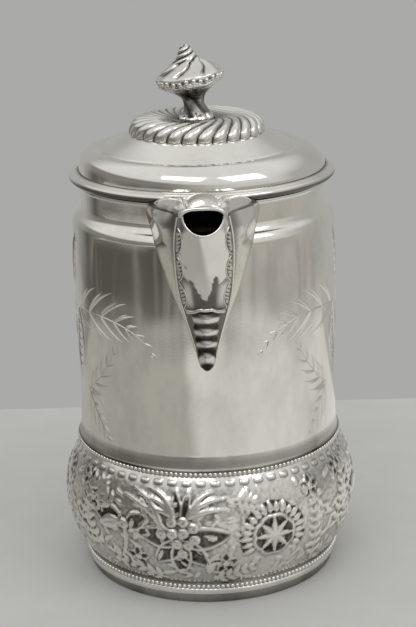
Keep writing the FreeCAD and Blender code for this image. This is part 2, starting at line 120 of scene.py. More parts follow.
def add_node(tree, kind, inputs=(), **settings):
    """A shader node. Each input gets a value, or a link from a socket or from a node's first output."""
    node = tree.nodes.new("ShaderNode" + kind)
    for name, value in settings.items():
        setattr(node, name, value)
    for name, value in dict(inputs).items():
        if isinstance(value, bpy.types.Node):
            value = value.outputs[0]
        if isinstance(value, bpy.types.NodeSocket):
            tree.links.new(value, node.inputs[name])
        else:
            node.inputs[name].default_value = value
    return node


def new_material(name):
    """An empty material and its node tree."""
    material = bpy.data.materials.new(name)
    material.use_nodes = True
    material.node_tree.nodes.clear()
    return material, material.node_tree


# Polishing scratches are too fine to show, so they are drawn 2.4 mm long and a ninth as wide.
# Waves about 38 mm long are left in the sheet by the hammer and the lathe.
SCRATCH, WAVE = 2.4, 38.0
SCRATCH_DEPTH = 0.05
SATIN = 0.13


def silver(name, clean, dull, gloss, cloud, scratch, wave=0.0, wear=0.22, satin_above=None):
    """Silver plate: bright metal, dulled by clouds of wear and darkened by a map of tarnish and painted
    shade.

    The cloud's size, the depth of the waves and the height above which it is satin are in millimetres.
    """
    material, tree = new_material(name)
    place = add_node(tree, "TexCoord").outputs["Object"]
    drawn = add_node(tree, "Mapping", {"Vector": place, "Scale": (1.0, 1.0, 0.5)})
    cloudy = {"Vector": drawn, "Scale": 1 / (cloud * MM), "Detail": 8.0, "Roughness": 0.62}
    clouds = add_node(tree, "TexNoise", cloudy)
    # This map holds tarnish that polishing misses, and also painted shade, painted dark reflections and
    # painted highlights laid in by the pieces.
    tarnish_and_shade_map = add_node(tree, "Attribute", attribute_name="tarnish_and_shade").outputs["Fac"]
    worn = add_node(tree, "MapRange", {"Value": clouds, "From Min": 0.45, "From Max": 0.8, "To Max": wear})
    dark = add_node(tree, "Math", {0: tarnish_and_shade_map, 1: worn}, operation="ADD", use_clamp=True)
    tint = add_node(tree, "Mix", {"Factor": dark, 6: colour(clean), 7: colour(dull)}, data_type="RGBA")
    rubbed = {"Value": clouds, "From Min": 0.3, "From Max": 0.75, "To Min": gloss[0], "To Max": gloss[1]}
    rough = add_node(tree, "MapRange", rubbed)
    if satin_above is not None:
        height = add_node(tree, "SeparateXYZ", {"Vector": place}).outputs["Z"]
        edge = {"From Min": satin_above * MM, "From Max": (satin_above + 1) * MM, "To Max": SATIN}
        satin = add_node(tree, "MapRange", {"Value": height, **edge})
        rough = add_node(tree, "Math", {0: rough, 1: satin}, operation="ADD")
    rough = add_node(tree, "Math", {0: tarnish_and_shade_map, 1: 0.3, 2: rough}, operation="MULTIPLY_ADD", use_clamp=True)
    swell = add_node(tree, "TexNoise", {"Vector": place, "Scale": 1 / (WAVE * MM), "Detail": 1.0})
    waves = add_node(tree, "Bump", {"Height": swell, "Strength": 1.0, "Distance": wave * MM})
    squeezed = add_node(tree, "Mapping", {"Vector": place, "Scale": (1.0, 1.0, 9.0)})
    lines = add_node(tree, "TexNoise", {"Vector": squeezed, "Scale": 1 / (SCRATCH * MM), "Detail": 3.0})
    scored = {"Height": lines, "Normal": waves, "Strength": scratch, "Distance": SCRATCH_DEPTH * MM}
    surface = {"Base Color": tint.outputs[2], "Roughness": rough, "Metallic": 1.0}
    shader = add_node(tree, "BsdfPrincipled", {**surface, "Normal": add_node(tree, "Bump", scored)})
    add_node(tree, "OutputMaterial", {"Surface": shader})
    return material


# Worn silver plate is rubbed to a satin: what it mirrors is soft and cloudy, and bends with the sheet.
worn_silver = silver(
    "worn_satin_silver_plate",
    clean="#f0eee8",
    dull="#3d3932",
    gloss=(0.04, 0.19),
    cloud=30,
    scratch=0.16,
    wave=0.9,
    wear=0.34,
)
# The plate inside is never polished: grey, a little brown, and nearly matt.
inner_silver = silver(
    "dull_inside_plate",
    clean="#a59f93",
    dull="#4c463c",
    gloss=(0.30, 0.48),
    cloud=15,
    scratch=0.3,
)


def add_piece(name, parts, material, body, nodes=(), sharp=40):
    """One object made of sheets that rides on a body. Edges over the sharp angle, in degrees, stay sharp."""
    points = np.concatenate([corners for corners, _, _ in parts])
    faces = []
    start = 0
    for corners, quads, _ in parts:
        faces += (quads + start).tolist()
        start += len(corners)
    mesh = bpy.data.meshes.new(name)
    mesh.from_pydata((points * MM).tolist(), [], faces)
    layer = mesh.attributes.new("tarnish_and_shade", "FLOAT", "POINT")
    layer.data.foreach_set("value", np.concatenate([dark for _, _, dark in parts]).astype(np.float32))
    work = bmesh.new()
    work.from_mesh(mesh)
    bmesh.ops.recalc_face_normals(work, faces=work.faces)
    work.to_mesh(mesh)
    work.free()
    mesh.polygons.foreach_set("use_smooth", np.ones(len(mesh.polygons), bool))
    mesh.set_sharp_from_angle(angle=math.radians(sharp))
    mesh.materials.append(material)
    piece = bpy.data.objects.new(name, mesh)
    bpy.context.collection.objects.link(piece)
    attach(piece, body)
    if nodes:
        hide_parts(*nodes)
    return piece


def finish_node(node, material):
    """Gives its material to a solid of the frame that is shown as it is."""
    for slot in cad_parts[node].material_slots:
        slot.material = material


foot_parts = [sheet(foot_points, foot_painted_shade, ring=True, closed=True)]
add_piece("foot", foot_parts, worn_silver, "pot", ["foot_ring"])
finish_node("bottom_plate", inner_silver)

# Beaded wires: round beads that touch, rolled from plated wire with a flat back.
# One is soldered into the seam below the base band and one into the seam above it.
BAND_LOW, BAND_HIGH, DRUM_LOW = 10.8, 68.8, 71.2
BEAD = 1.2
WIRE_PAINTED_SHADE = 0.5

# Chased and cast plate keeps black tarnish in its hollows, and is bright where hands and cloths reach.
chased_silver = silver(
    "chased_silver_plate_with_tarnish_and_painted_shade",
    clean="#ebe9e4",
    dull="#35312b",
    gloss=(0.06, 0.18),
    cloud=18,
    scratch=0.5,
)


def ball(centre, radius, rings=7, sides=10):
    """Points of a small round bead."""
    tilt = np.linspace(0.02, math.pi - 0.02, rings)[:, None]
    turn = turns(sides)
    rim = np.sin(tilt)
    shell = np.stack(np.broadcast_arrays(rim * np.cos(turn), rim * np.sin(turn), np.cos(tilt)), axis=-1)
    return np.asarray(centre) + shell * radius


def beaded_wire(name, node, low, high, seat, centre, count):
    """A ring of beads on a wire between two heights, with painted shade between and behind the beads."""
    middle = (low + high) / 2
    wire = [(seat, low), (centre - 0.1, low), (centre + 0.25, middle), (centre - 0.1, high), (seat, high)]
    # Painted shade: the wire between the beads and the beads' backs are darkened.
    parts = [sheet(lathe(wire), WIRE_PAINTED_SHADE, ring=True, closed=True)]
    for turn in turns(count):
        bead = ball(around(centre, turn, middle), BEAD)
        front = smoothstep(-0.2 * BEAD, 0.55 * BEAD, np.hypot(bead[..., 0], bead[..., 1]) - centre)
        parts.append(sheet(bead, WIRE_PAINTED_SHADE * (1 - front), ring=True))
    add_piece(name, parts, chased_silver, "pot", [node])


beaded_wire("lower_beads", "lower_bead_ring", FOOT_TOP, BAND_LOW, 63.3, 65.75, 172)
beaded_wire("upper_beads", "upper_bead_ring", BAND_HIGH, DRUM_LOW, 64.6, 67.1, 176)

# Base band: a bulged sheet with flowers, berries, blades and leaves chased from behind, so they stand proud.
# The ground between them is matted with a punch, and a row of dashes runs under the upper seam.
# The pattern is drawn on a third of the band, in millimetres along (u) and up (v), and repeats around it.
BAND_MEAN, BAND_REPEATS, PATTERN_TURN = 72.0, 3, 10
BAND_COLUMNS, BAND_ROWS, LINING_ROWS = 288, 104, 14
GROUND_TONE, HIGH_TONE, DISH_TONE, LINING_TONE = 0.27, 0.06, 0.72, 0.4
GROUND_DEPTH, LINING_DEPTH = 0.5, 1.7
DASHES, DASH_Z = 20, BAND_HIGH - 3.2
repeat = TAU * BAND_MEAN / BAND_REPEATS
band_u = (np.arange(BAND_COLUMNS) / BAND_COLUMNS - 0.5)[None, :] * repeat
band_v = np.linspace(BAND_LOW, BAND_HIGH, BAND_ROWS)[:, None]
relief = np.zeros((BAND_ROWS, BAND_COLUMNS))
tarnish_and_shade_tone = np.full(relief.shape, GROUND_TONE)


def heading(angle):
    """The direction at an angle in degrees."""
    return np.array([math.cos(math.radians(angle)), math.sin(math.radians(angle))])


def half_round(across):
    """Height of a half-round section: 1 in the middle, 0 at -1 and 1."""
    return np.sqrt(np.clip(1 - across**2, 0, 1))


def hump(value, middle, width):
    """A soft hump of height 1 about a middle."""
    return np.exp(-(((value - middle) / width) ** 2))


def bent(start, control, end, count=9):
    """Points along a bent line from start to end, pulled towards a control point."""
    share = np.linspace(0, 1, count)[:, None]
    start, control, end = (np.array(p, float) for p in (start, control, end))
    return (1 - share) ** 2 * start + 2 * share * (1 - share) * control + share**2 * end


def local(u, v, angle=0.0):
    """Pattern points seen from a motif: along its direction and across it."""
    du = (band_u - u + repeat / 2) % repeat - repeat / 2 + 0 * band_v
    dv = band_v - v + 0 * band_u
    c, s = heading(angle)
    return du * c + dv * s, -du * s + dv * c


def raise_to(height, tone=HIGH_TONE):
    """Raises the relief where a height is above it, and gives those points their tone: tarnish for the
    motifs, painted shade for the rosette's fringe.
    """
    higher = height > relief
    tarnish_and_shade_tone[higher] = np.broadcast_to(tone, relief.shape)[higher]
    np.maximum(relief, height, out=relief)


def leaf(u, v, angle, length, width, height, dished=False):
    """A leaf or petal that starts at a point: domed with a creased middle, or dished with a raised edge."""
    s, t = local(u, v, angle)
    share = np.clip(s / length, 0, 1)
    half = np.maximum(width / 2 * np.sin(math.pi * share**0.8) ** 0.8, 1e-3)
    across = np.abs(t) / half
    inside = (s > 0) & (s < length) & (across < 1)
    if dished:
        body = height * (0.2 + 0.8 * across**3) * smoothstep(1.0, 0.9, across)
        tone = HIGH_TONE + DISH_TONE * smoothstep(0.9, 0.6, across)
    else:
        body = height * half_round(across) - 0.35 * height * hump(t, 0, 0.55)
        tone = HIGH_TONE
    raise_to(np.where(inside, body, 0), tone)


def blade(points, width, height):
    """A long grass blade along a bent line, creased along its middle and pointed at its end."""
    nearest = np.full(relief.shape, 1e9)
    where = np.zeros(relief.shape)
    steps = 40
    for share, (u, v) in zip(np.linspace(0, 1, steps), bent(*points, steps)):
        distance = np.hypot(*local(u, v))
        closer = distance < nearest
        nearest[closer] = distance[closer]
        where[closer] = share
    half = np.maximum(width / 2 * np.clip(1.15 - where**2 * 1.1, 0.05, 1), 0.2)
    across = nearest / half
    body = height * half_round(across) - 0.3 * height * hump(nearest, 0, 0.4)
    raise_to(np.where(across < 1, body, 0))


def berry(u, v, radius, height):
    """A round berry with a punched eye."""
    d = np.hypot(*local(u, v)) / radius
    raise_to(np.where(d < 1, height * half_round(d) - 0.55 * height * hump(d, 0, 0.3), 0))


def rosette(u, v):
    """An open flower: dark dished petals between ribs, a scalloped edge and a fringe of short petals."""
    s, t = local(u, v)
    reach = np.hypot(s, t)
    turn = np.arctan2(t, s)
    rib_half = 0.5 + 0.7 * np.sin(math.pi * np.clip(reach / 9, 0, 1))
    rib_across = reach * np.abs(np.sin(4 * turn)) / 4 / rib_half
    rib = 1.4 * half_round(rib_across) * smoothstep(10.0, 8.0, reach)
    edge = 9.2 + 0.9 * np.abs(np.sin(4 * turn))
    dish = 0.1 + 0.9 * (reach / 10) ** 2
    tone = HIGH_TONE + DISH_TONE * smoothstep(0.0, 0.3, dish - rib)
    raise_to(np.where(reach < edge, np.maximum(dish, rib), 0), tone)
    raise_to(1.35 * hump(reach - edge, 0.4, 0.75))
    raise_to(np.where(reach < 1.8, 1.5 * half_round(reach / 1.8), 0))
    fringe = 11.6
    # Painted shade: the ground under the fringe is darkened between its short petals.
    raise_to(np.where((reach > fringe) & (reach < 17.4) & (t > -0.5 * reach), 0.14, 0), 0.66)
    for index in range(18):
        angle = 14 * index - 29
        du, dv = fringe * heading(angle)
        leaf(u + du, v + dv, angle, 5.2 + 1.1 * (index % 2), 3.2, 1.5)


def berry_cluster(u, v):
    """A bunch of berries between broad dished leaves, with two upright leaves and arching blades above."""
    for angle, length, width in ((8, 24, 13), (172, 23, 12), (-48, 19, 11), (-92, 20, 11), (-136, 19, 11)):
        leaf(u, v - 2, angle, length, width, 1.5, dished=True)
    upper = ((-4.7, 7.5), (1, 8), (6, 5), (-9.5, 1), (-4.2, 1.5))
    lower = ((1.2, 2.2), (6.5, -1), (-2, -3.8), (3.4, -4.2), (0.5, -9.2))
    for du, dv in upper + lower:
        berry(u + du, v + dv, 2.75, 1.7)
    for side in (-1, 1):
        leaf(u + 0.8 * side, v + 9.5, 90 - 12 * side, 13.5, 4.6, 1.5, dished=True)
        for bend, tip in (((9, 20), (26, 19)), ((12, 15), (25, 13.5)), ((7, 22), (18, 22.5))):
            start = (u + 4 * side, v + 10.5)
            blade([start, (u + side * bend[0], v + bend[1]), (u + side * tip[0], v + tip[1])], 2.8, 1.3)


def lily(u, v):
    """A trumpet flower on its side with a curled lip, on a bent stalk."""
    leaf(u, v, 165, 23, 12.5, 1.5, dished=True)
    leaf(u - 2, v + 1, 198, 15, 8, 1.5)
    leaf(u + 2, v, 30, 12, 10, 1.6, dished=True)
    berry(u, v, 3.0, 1.8)
    blade([(u, v), (u + 4, v - 12), (u - 6, v - 22)], 2.2, 0.9)


def sprig(u, v, angle, leaves, length):
    """A straight twig with small leaves in pairs."""
    root, along = np.array([u, v]), heading(angle)
    blade([root, root + along * length / 2, root + along * length], 1.3, 0.8)
    for index in range(leaves):
        start = root + along * length * (index + 0.6) / leaves
        for side in (-1, 1):
            leaf(*start, angle + side * (55 - 3 * index), 6.4 - 0.45 * index, 2.9, 1.2)


def small_flower(u, v):
    """A flower of five dished petals round a small eye."""
    for index in range(5):
        leaf(u, v, 90 + 72 * index, 6.2, 4.8, 1.3, dished=True)
    berry(u, v, 1.7, 1.5)


def blur(field, steps):
    """Neighbouring points averaged, around the band and up it."""
    for _ in range(steps):
        field = (np.roll(field, 1, 1) + 2 * field + np.roll(field, -1, 1)) / 4
        padded = np.pad(field, ((1, 1), (0, 0)), mode="edge")
        field = (padded[:-2] + 2 * padded[1:-1] + padded[2:]) / 4
    return field


def band_radius(z, depth=0.0):
    """The bulged band's own line, an arc, at a depth below its face."""
    return 26.2 + np.sqrt((49.12 - depth) ** 2 - (z - 40.48) ** 2)


berry_cluster(-2, 40)
rosette(43, 38)
lily(-32, 43)
blade([(-12, 44), (-15, 60), (-30, 62)], 3.2, 1.3)
blade([(-11, 45), (-21, 57), (-36, 58)], 2.4, 1.1)
left_sprigs = [(-58, 22, 82, 7, 36), (-66, 30, 70, 6, 28), (-50, 24, 112, 6, 26), (-38, 50, 152, 5, 20)]
middle_sprigs = [(-46, 46, 96, 5, 15), (-12, 14, 160, 5, 24), (14, 14, 20, 5, 20)]
for place in left_sprigs + middle_sprigs + [(70, 16, 96, 7, 34), (24, 58, -18, 3, 9)]:
    sprig(*place)
for place in ((-25, 26), (19, 25), (66, 57), (-60, 60)):
    small_flower(*place)
for place in ((-40, 20), (-35.5, 18), (-38, 24), (-43, 26), (62, 20), (64, 25)):
    berry(*place, 1.7, 1.2)
for place in ((-52, 58), (-49, 61), (58, 61), (72, 52), (30, 61)):
    berry(*place, 1.8, 1.2)
draw = np.random.default_rng(5)
for _ in range(170):
    u, v = draw.uniform(-repeat / 2, repeat / 2), draw.uniform(BAND_LOW + 4, BAND_HIGH - 8)
    angle, length = draw.uniform(0, 360), draw.uniform(4.5, 8.5)
    leaf(u, v, angle, length, draw.uniform(1.9, 3.2), draw.uniform(0.55, 0.95))
matting = blur(np.random.default_rng(8).uniform(-1, 1, relief.shape), 1)
relief += 0.3 * matting * (1 - 0.8 * smoothstep(0.4, 1.0, relief))
edge_fade = smoothstep(BAND_LOW + 0.4, BAND_LOW + 2.2, band_v)
edge_fade = edge_fade * smoothstep(BAND_HIGH - 4.6, BAND_HIGH - 6.4, band_v)
relief *= edge_fade
dash_step = repeat / DASHES
dash_u = (band_u + dash_step / 2) % dash_step - dash_step / 2
dash = np.clip(1 - (dash_u / 2.2) ** 4 - ((band_v - DASH_Z) / 0.9) ** 4, 0, 1)
# Painted shadow: a dark rim round each dash, deepest under it.
dash_shade = np.clip(1 - (dash_u / 2.9) ** 4 - ((band_v - DASH_Z + 0.3) / 1.6) ** 4, 0, 1)
relief = blur(relief + 0.55 * dash**0.6, 1)
# Painted shade and highlight: hollows of the relief are darkened and its crests lightened, over the tarnish
# of each motif.
cavity = blur(relief, 5) - relief
band_tarnish_and_shade = tarnish_and_shade_tone * edge_fade + 2.0 * np.clip(cavity, 0, 1) - 1.4 * np.clip(-cavity, 0, 1)
band_tarnish_and_shade = np.clip(band_tarnish_and_shade + 0.6 * np.clip(dash_shade**0.5 - dash**0.5, 0, 1), 0, 0.92)
band_steps = BAND_REPEATS * BAND_COLUMNS
band_turn = np.arange(band_steps) / band_steps * TAU - math.pi / 3 - math.radians(PATTERN_TURN)
band_reach = band_radius(band_v) - GROUND_DEPTH + np.tile(relief, (1, BAND_REPEATS))
band_face = around(band_reach, band_turn, band_v)
lining_v = np.linspace(BAND_HIGH, BAND_LOW, LINING_ROWS)[:, None]
lining = around(band_radius(lining_v, LINING_DEPTH), band_turn[::4], lining_v)
band_parts = [
    sheet(band_face, np.tile(band_tarnish_and_shade, (1, BAND_REPEATS)), ring=True),
    sheet(lining, LINING_TONE, ring=True),
]
add_piece("chased_band", band_parts, chased_silver, "pot", ["base_band"], sharp=70)

# Drum: one seamed sheet of plated metal, flared over the band's seam and drawn in at the shoulder to a neck.
# Holes pierced behind the spout strain the coffee, and a wire stiffens the mouth under the lid.
# The flare is duller and painted darker than the rest as a painted dark reflection, and its lower edge is
# painted black as shade at the seam.
DRUM, NECK, WALL = 66.0, 61.0, 1.2
SHOULDER, NECK_LOW, MOUTH = 183.2, 193.0, 204.2
SEAM_PAINTED_SHADE, FLARE_PAINTED_REFLECTION, UNLIT = 0.85, 0.42, 0.97
HOLE, HOLE_STEP, HOLE_ROWS, HOLE_SIDES = 1.6, 4.6, 5, 20
HOLES_TOP = MOUTH - 24
HOLE_ENDS = (-60.0, -70.0)


def drum_line(offset):
    """The drum's line from its seam up to its mouth, at an offset inwards."""
    outer, neck = DRUM - offset, NECK - offset
    run, rise = outer - neck, NECK_LOW - SHOULDER
    radius = (run**2 + rise**2) / (4 * run)
    line = [(outer + 1.7, DRUM_LOW), (outer + 1.45, DRUM_LOW + 0.5)]
    line += arc(line[-1], (outer + 0.98, DRUM_LOW + 1.2), (outer + 0.72, DRUM_LOW + 2.0), 5)
    line += [(outer + 0.4, DRUM_LOW + 4.6), (outer + 0.1, DRUM_LOW + 7.0)]
    line += arc(line[-1], (outer + 0.025, DRUM_LOW + 7.8), (outer, DRUM_LOW + 8.8), 4)
    line += [(outer, z) for z in np.linspace(DRUM_LOW + 12, SHOULDER - 6, 12)] + [(outer, SHOULDER)]
    bend = math.asin(rise / 2 / radius)
    for turn in bend * np.linspace(0.1, 1, 10):
        line.append((outer - radius * (1 - math.cos(turn)), SHOULDER + radius * math.sin(turn)))
    for turn in bend * np.linspace(0.9, 0, 10):
        line.append((neck + radius * (1 - math.cos(turn)), NECK_LOW - radius * math.sin(turn)))
    return line + [(neck, NECK_LOW + 4), (neck, MOUTH)]


drum_outer = np.array(drum_line(0))
drum_points = lathe(drum_line(0) + drum_line(WALL)[::-1], 320)
drum_x, drum_y, drum_z = np.moveaxis(drum_points, -1, 0)
# Painted shade: the plate seen through the spout's mouth is nearly black.
behind_mouth = (np.abs(drum_x) < 13) & (drum_y < 0) & (drum_z > MOUTH - 26)
behind_mouth[len(drum_outer) :] = False
# Painted shade at the seam and a painted dark reflection on the flare.
seam_painted_shade = SEAM_PAINTED_SHADE * smoothstep(DRUM_LOW + 1.6, DRUM_LOW + 0.4, drum_z)
flare_painted_reflection = FLARE_PAINTED_REFLECTION * smoothstep(DRUM_LOW + 7.6, DRUM_LOW + 6.0, drum_z)
drum_painted_shade_and_reflection = np.where(behind_mouth, UNLIT, np.maximum(seam_painted_shade, flare_painted_reflection))
drum_parts = [sheet(drum_points, drum_painted_shade_and_reflection, ring=True, closed=True)]
drum = add_piece("drum", drum_parts, worn_silver, "pot", ["body_drum"])

bar_points, bar_faces = [], []
for row in range(HOLE_ROWS):
    for column in range(HOLE_ROWS - row % 2):
        x = (column - (HOLE_ROWS - 1 - row % 2) / 2) * HOLE_STEP
        z = HOLES_TOP - row * HOLE_STEP * math.sqrt(0.75)
        turn = turns(HOLE_SIDES)
        rim = np.stack([x - HOLE * np.cos(turn), 0 * turn, z - HOLE * np.sin(turn)], axis=-1)
        points, quads, _ = sheet([rim + [0, y, 0] for y in HOLE_ENDS], ring=True)
        start = len(bar_points) * len(points)
        first, last = list(range(HOLE_SIDES))[::-1], list(range(HOLE_SIDES, 2 * HOLE_SIDES))
        bar_faces += [[corner + start for corner in face] for face in quads.tolist() + [first, last]]
        bar_points.append(points)
bars_mesh = bpy.data.meshes.new("strainer_bars")
bars_mesh.from_pydata((np.concatenate(bar_points) * MM).tolist(), [], bar_faces)
bars = bpy.data.objects.new("strainer_bars", bars_mesh)
bpy.context.collection.objects.link(bars)
piercing = drum.modifiers.new("piercing", "BOOLEAN")
piercing.object, piercing.solver, piercing.operation = bars, "EXACT", "DIFFERENCE"
pierced = bpy.data.meshes.new_from_object(drum.evaluated_get(bpy.context.evaluated_depsgraph_get()))
drum.modifiers.clear()
whole, drum.data = drum.data, pierced
bpy.data.meshes.remove(whole)
bpy.data.objects.remove(bars)
bpy.data.meshes.remove(bars_mesh)
pierced.set_sharp_from_angle(angle=math.radians(40))

# Polished silver plate mirrors its surroundings almost clearly, with a faint haze of fine scratches.
polished_silver = silver(
    "polished_silver_plate",
    clean="#eceae5",
    dull="#3f3b34",
    gloss=(0.04, 0.13),
    cloud=26,
    scratch=0.10,
    wave=0.5,
    wear=0.15,
)
finish_node("mouth_rim_wire", polished_silver)

# Fern sprays: cut through the drum's plate with a graver on both sides, each leaflet one tapering stroke.
# They start at a flower at each side of the pot, between the spout and the handle.
# Each cut is laid on as a low ridge, whose two slopes catch the light as those of a groove do.
DEGREE = math.radians(1) * DRUM
CUT_LIFT, CUT_RISE = 0.02, 0.3
STALK_WIDTH, VEIN_WIDTH, PETAL_WIDTH, OUTLINE_WIDTH = 0.9, 0.9, 1.0, 1.3

# A fresh cut is brighter than the worn plate around it, and its tool marks make it a little rough.
cut_silver = silver(
    "bright_cut_engraving",
    clean="#e6e4de",
    dull="#8d887f",
    gloss=(0.14, 0.26),
    cloud=9,
    scratch=0.3,
)


def unit(vectors):
    """Vectors of length 1."""
    return vectors / np.linalg.norm(vectors, axis=-1, keepdims=True)


def flat(side, *points):
    """Points of (degrees from the spout, height) as millimetres along the drum and up, on one side."""
    return np.array(points, float) * [side * DEGREE, 1]


def stroke(line, width):
    """One tapering graver cut along flat points, laid on the drum."""
    along = unit(np.gradient(line, axis=0))
    side = np.stack([-along[:, 1], along[:, 0]], axis=-1)
    swell = np.sin(math.pi * np.linspace(0.06, 0.985, len(line)) ** 0.6)[:, None]
    cut = np.stack([line + side * swell * width * place for place in (-0.5, 0.0, 0.5)], axis=1)
    lift = CUT_LIFT + swell * width * np.array([0.0, CUT_RISE, 0.0])
    return sheet(around(DRUM + lift, cut[..., 0] / DRUM, cut[..., 1]))


def frond(points, leaflets):
    """A bent stalk with pairs of leaflets, each a place along it and a length. Long ones are two cuts."""
    stalk = bent(*points, 24)
    parts = [stroke(stalk, STALK_WIDTH)]
    for share, longest in leaflets:
        place = share * (len(stalk) - 1)
        low = int(min(place, len(stalk) - 2))
        step = stalk[low + 1] - stalk[low]
        base = stalk[low] + step * (place - low)
        ahead = math.degrees(math.atan2(step[1], step[0]))
        cuts = ((0, 1.0), (10, 0.74)) if longest > 6 else ((0, 1.0),)
        for side in (-1, 1):
            for spread, part in cuts:
                length = longest * part * (1 if side > 0 else 0.9)
                middle = base + 0.55 * length * heading(ahead + side * (48 - 12 * share + spread))
                tip = middle + 0.5 * length * heading(ahead + side * (17 + spread))
                parts.append(stroke(bent(base, middle, tip), 0.85 + 0.05 * longest))
    return parts


def long_leaf(side):
    """A long leaf in outline along the side of the pot, with slanting veins."""
    parts = []
    for bow in (63, 81):
        parts.append(stroke(bent(*flat(side, (73, 142), (bow, 124), (73, 105)), 16), OUTLINE_WIDTH))
    for z in np.linspace(112, 134, 6):
        for bow in (-1, 1):
            vein = flat(side, (72.5, z), (72.5 + 2 * bow, z + 1), (72.5 + 4 * bow, z + 4))
            parts.append(stroke(bent(*vein), VEIN_WIDTH))
    return parts


def side_flower(side):
    """A flower of nine petals at the side of the pot, each three strokes."""
    parts = []
    for turn in turns(9):
        for spread in (-0.16, 0, 0.16):
            reach = np.array([2.5, 7.5, 12.5])
            degrees = 90 + side * 0.87 * reach * math.cos(turn + spread)
            line = flat(side, *zip(degrees, 134 + reach * math.sin(turn + spread)))
            parts.append(stroke(bent(*line), PETAL_WIDTH))
    return parts


main_leaflets = ((0.06, 23), (0.18, 24), (0.31, 20), (0.44, 14), (0.56, 8))
main_leaflets += ((0.68, 5), (0.8, 4.4), (0.92, 3.6))
short_leaflets = ((0.1, 14), (0.3, 13), (0.5, 10.5), (0.7, 7.5), (0.88, 5))
sprays = []
for side in (-1, 1):
    for start, control, end in (((75, 142), (30, 150), (22, 127)), ((106, 146), (134, 152), (156, 128))):
        sprays += frond(flat(side, start, control, end), main_leaflets)
    for start, control, end in (
        ((64, 103), (53, 108), (41, 131)),
        ((64, 104), (57, 92), (47, 79)),
        ((86, 150), (83, 164), (73, 179)),
        ((100, 128), (122, 118), (138, 138)),
        ((102, 118), (120, 112), (136, 90)),
    ):
        sprays += frond(flat(side, start, control, end), short_leaflets)
    sprays += long_leaf(side) + side_flower(side)
add_piece("fern_engraving", sprays, cut_silver, "pot", sharp=5)

# Spout: a beak folded from polished sheet, with two wings on the drum and a broad, rounded front panel.
# Its open top slopes up to the mouth, where the coffee leaves through a round notch. The wings are soldered.
# It is darker along the panel's borders, with painted shade in the wings' corners at the drum and a painted
# dark reflection over the panel's foot.
RIM_TILT = math.tan(math.radians(5.1))
NOTCH_Z, NOTCH = 207.6, 9.2
TUCK = 2.4
SPOUT_FOOT, CHANNEL_FOOT = MOUTH - 79.5, MOUTH - 51.0

# Drop below the mouth, half widths at the drum and of the panel, and reach of the panel's edge and keel.
spout_sections = np.array([
    (-6.0, 28.6, 10.8, 28.5, 38.8),
    (9.0, 26.0, 13.2, 24.0, 36.0),
    (24.0, 21.8, 13.3, 17.0, 29.5),
    (39.0, 17.2, 12.2, 10.5, 20.5),
    (52.0, 12.0, 9.6, 5.5, 12.5),
    (64.0, 8.0, 6.5, 2.5, 7.0),
    (80.0, 3.2, 2.6, 0.6, 1.8),
])


def spout_sizes(z):
    """Half widths and reaches of the spout at a height, along smooth curves through its sections."""
    x, y = spout_sections[:, 0], spout_sections[:, 1:]
    slope = np.gradient(y, x, axis=0)
    at = np.clip(MOUTH - np.asarray(z, float), x[0], x[-1])
    low = np.clip(np.searchsorted(x, at, side="right") - 1, 0, len(x) - 2)
    step = (x[low + 1] - x[low])[..., None]
    t = (at - x[low])[..., None] / step
    rise = y[low] * (1 + 2 * t) * (1 - t) ** 2 + y[low + 1] * t**2 * (3 - 2 * t)
    bend = slope[low] * step * t * (1 - t) ** 2 + slope[low + 1] * step * t**2 * (t - 1)
    wing, panel, edge, keel = np.moveaxis(rise + bend, -1, 0)
    return wing, panel, DRUM + edge, DRUM + keel


def rim_z(y):
    """Height of the spout's rim, which tilts up towards its mouth."""
    return MOUTH - 0.3 + RIM_TILT * (-67.0 - y)


def panel_arc(panel, edge, keel):
    """Radius, centre and half angle of the panel's round front at a level."""
    sag = keel - edge
    radius = (panel**2 + sag**2) / (2 * sag)
    return radius, radius - keel, np.arctan2(panel, radius - sag)


def spout_points(place, z, inset=0.0):
    """Points of the spout: place runs from -2 (left root) over -1..1 (the panel) to 2 (right root)."""
    place, z = np.broadcast_arrays(np.asarray(place, float), np.asarray(z, float))
    wing, panel, edge, keel = spout_sizes(z)
    wing, panel, edge, keel = wing - inset, panel - inset, edge - inset / 2, keel - inset
    at_body = np.interp(z, drum_outer[:, 1], drum_outer[:, 0])
    root = np.sqrt(at_body**2 - wing**2) - 0.3
    radius, centre, half = panel_arc(panel, edge, keel)
    turn = np.clip(place, -1, 1) * half
    out = np.clip(np.abs(place) - 1, 0, 1)
    swell = (0.16 * smoothstep(MOUTH - 36, MOUTH - 6, z) - 0.05) * (wing - panel) * np.sin(math.pi * out)
    swell = swell + 1.5 * smoothstep(MOUTH - 16, MOUTH - 4, z) * np.sin(math.pi * out**0.75)
    tuck = TUCK * np.clip((z - MOUTH + 7) / 8.5, 0, 1) ** 2 * smoothstep(0, 0.3, out)
    beside = np.sign(place) * (panel + (wing - panel) * out + swell - tuck)
    x = np.where(out > 0, beside, radius * np.sin(turn))
    y = np.where(out > 0, -edge + (edge - root) * out, centre - radius * np.cos(turn))
    return np.stack([x, y, z], axis=-1)


def notch_edge(place, inset):
    """Height of the round notch's edge at places across the panel, far up beside the notch."""
    turn = np.linspace(-math.pi / 2, math.pi / 2, 91)
    x, z = NOTCH * np.sin(turn), NOTCH_Z - NOTCH * np.cos(turn)
    _, panel, edge, keel = spout_sizes(z)
    radius, _, half = panel_arc(panel - inset, edge - inset / 2, keel - inset)
    return np.interp(place, np.arcsin(x / radius) / half, z, left=MOUTH + 20, right=MOUTH + 20)


def spout_side(inset, floor, levels):
    """One face of the spout from its tilted rim down to a floor, with the place and drop of each point."""
    place = np.concatenate([np.linspace(-2, -1, 26), np.linspace(-1, 1, 60)[1:-1], np.linspace(1, 2, 26)])
    top = np.minimum(rim_z(spout_points(place, MOUTH + 1.5, inset)[:, 1]), notch_edge(place, inset))
    share = np.linspace(0, 1, levels)[:, None]
    z = top[None, :] * (1 - share) + floor * share
    return spout_points(place[None, :], z, inset), place[None, :] + 0 * z, MOUTH - z


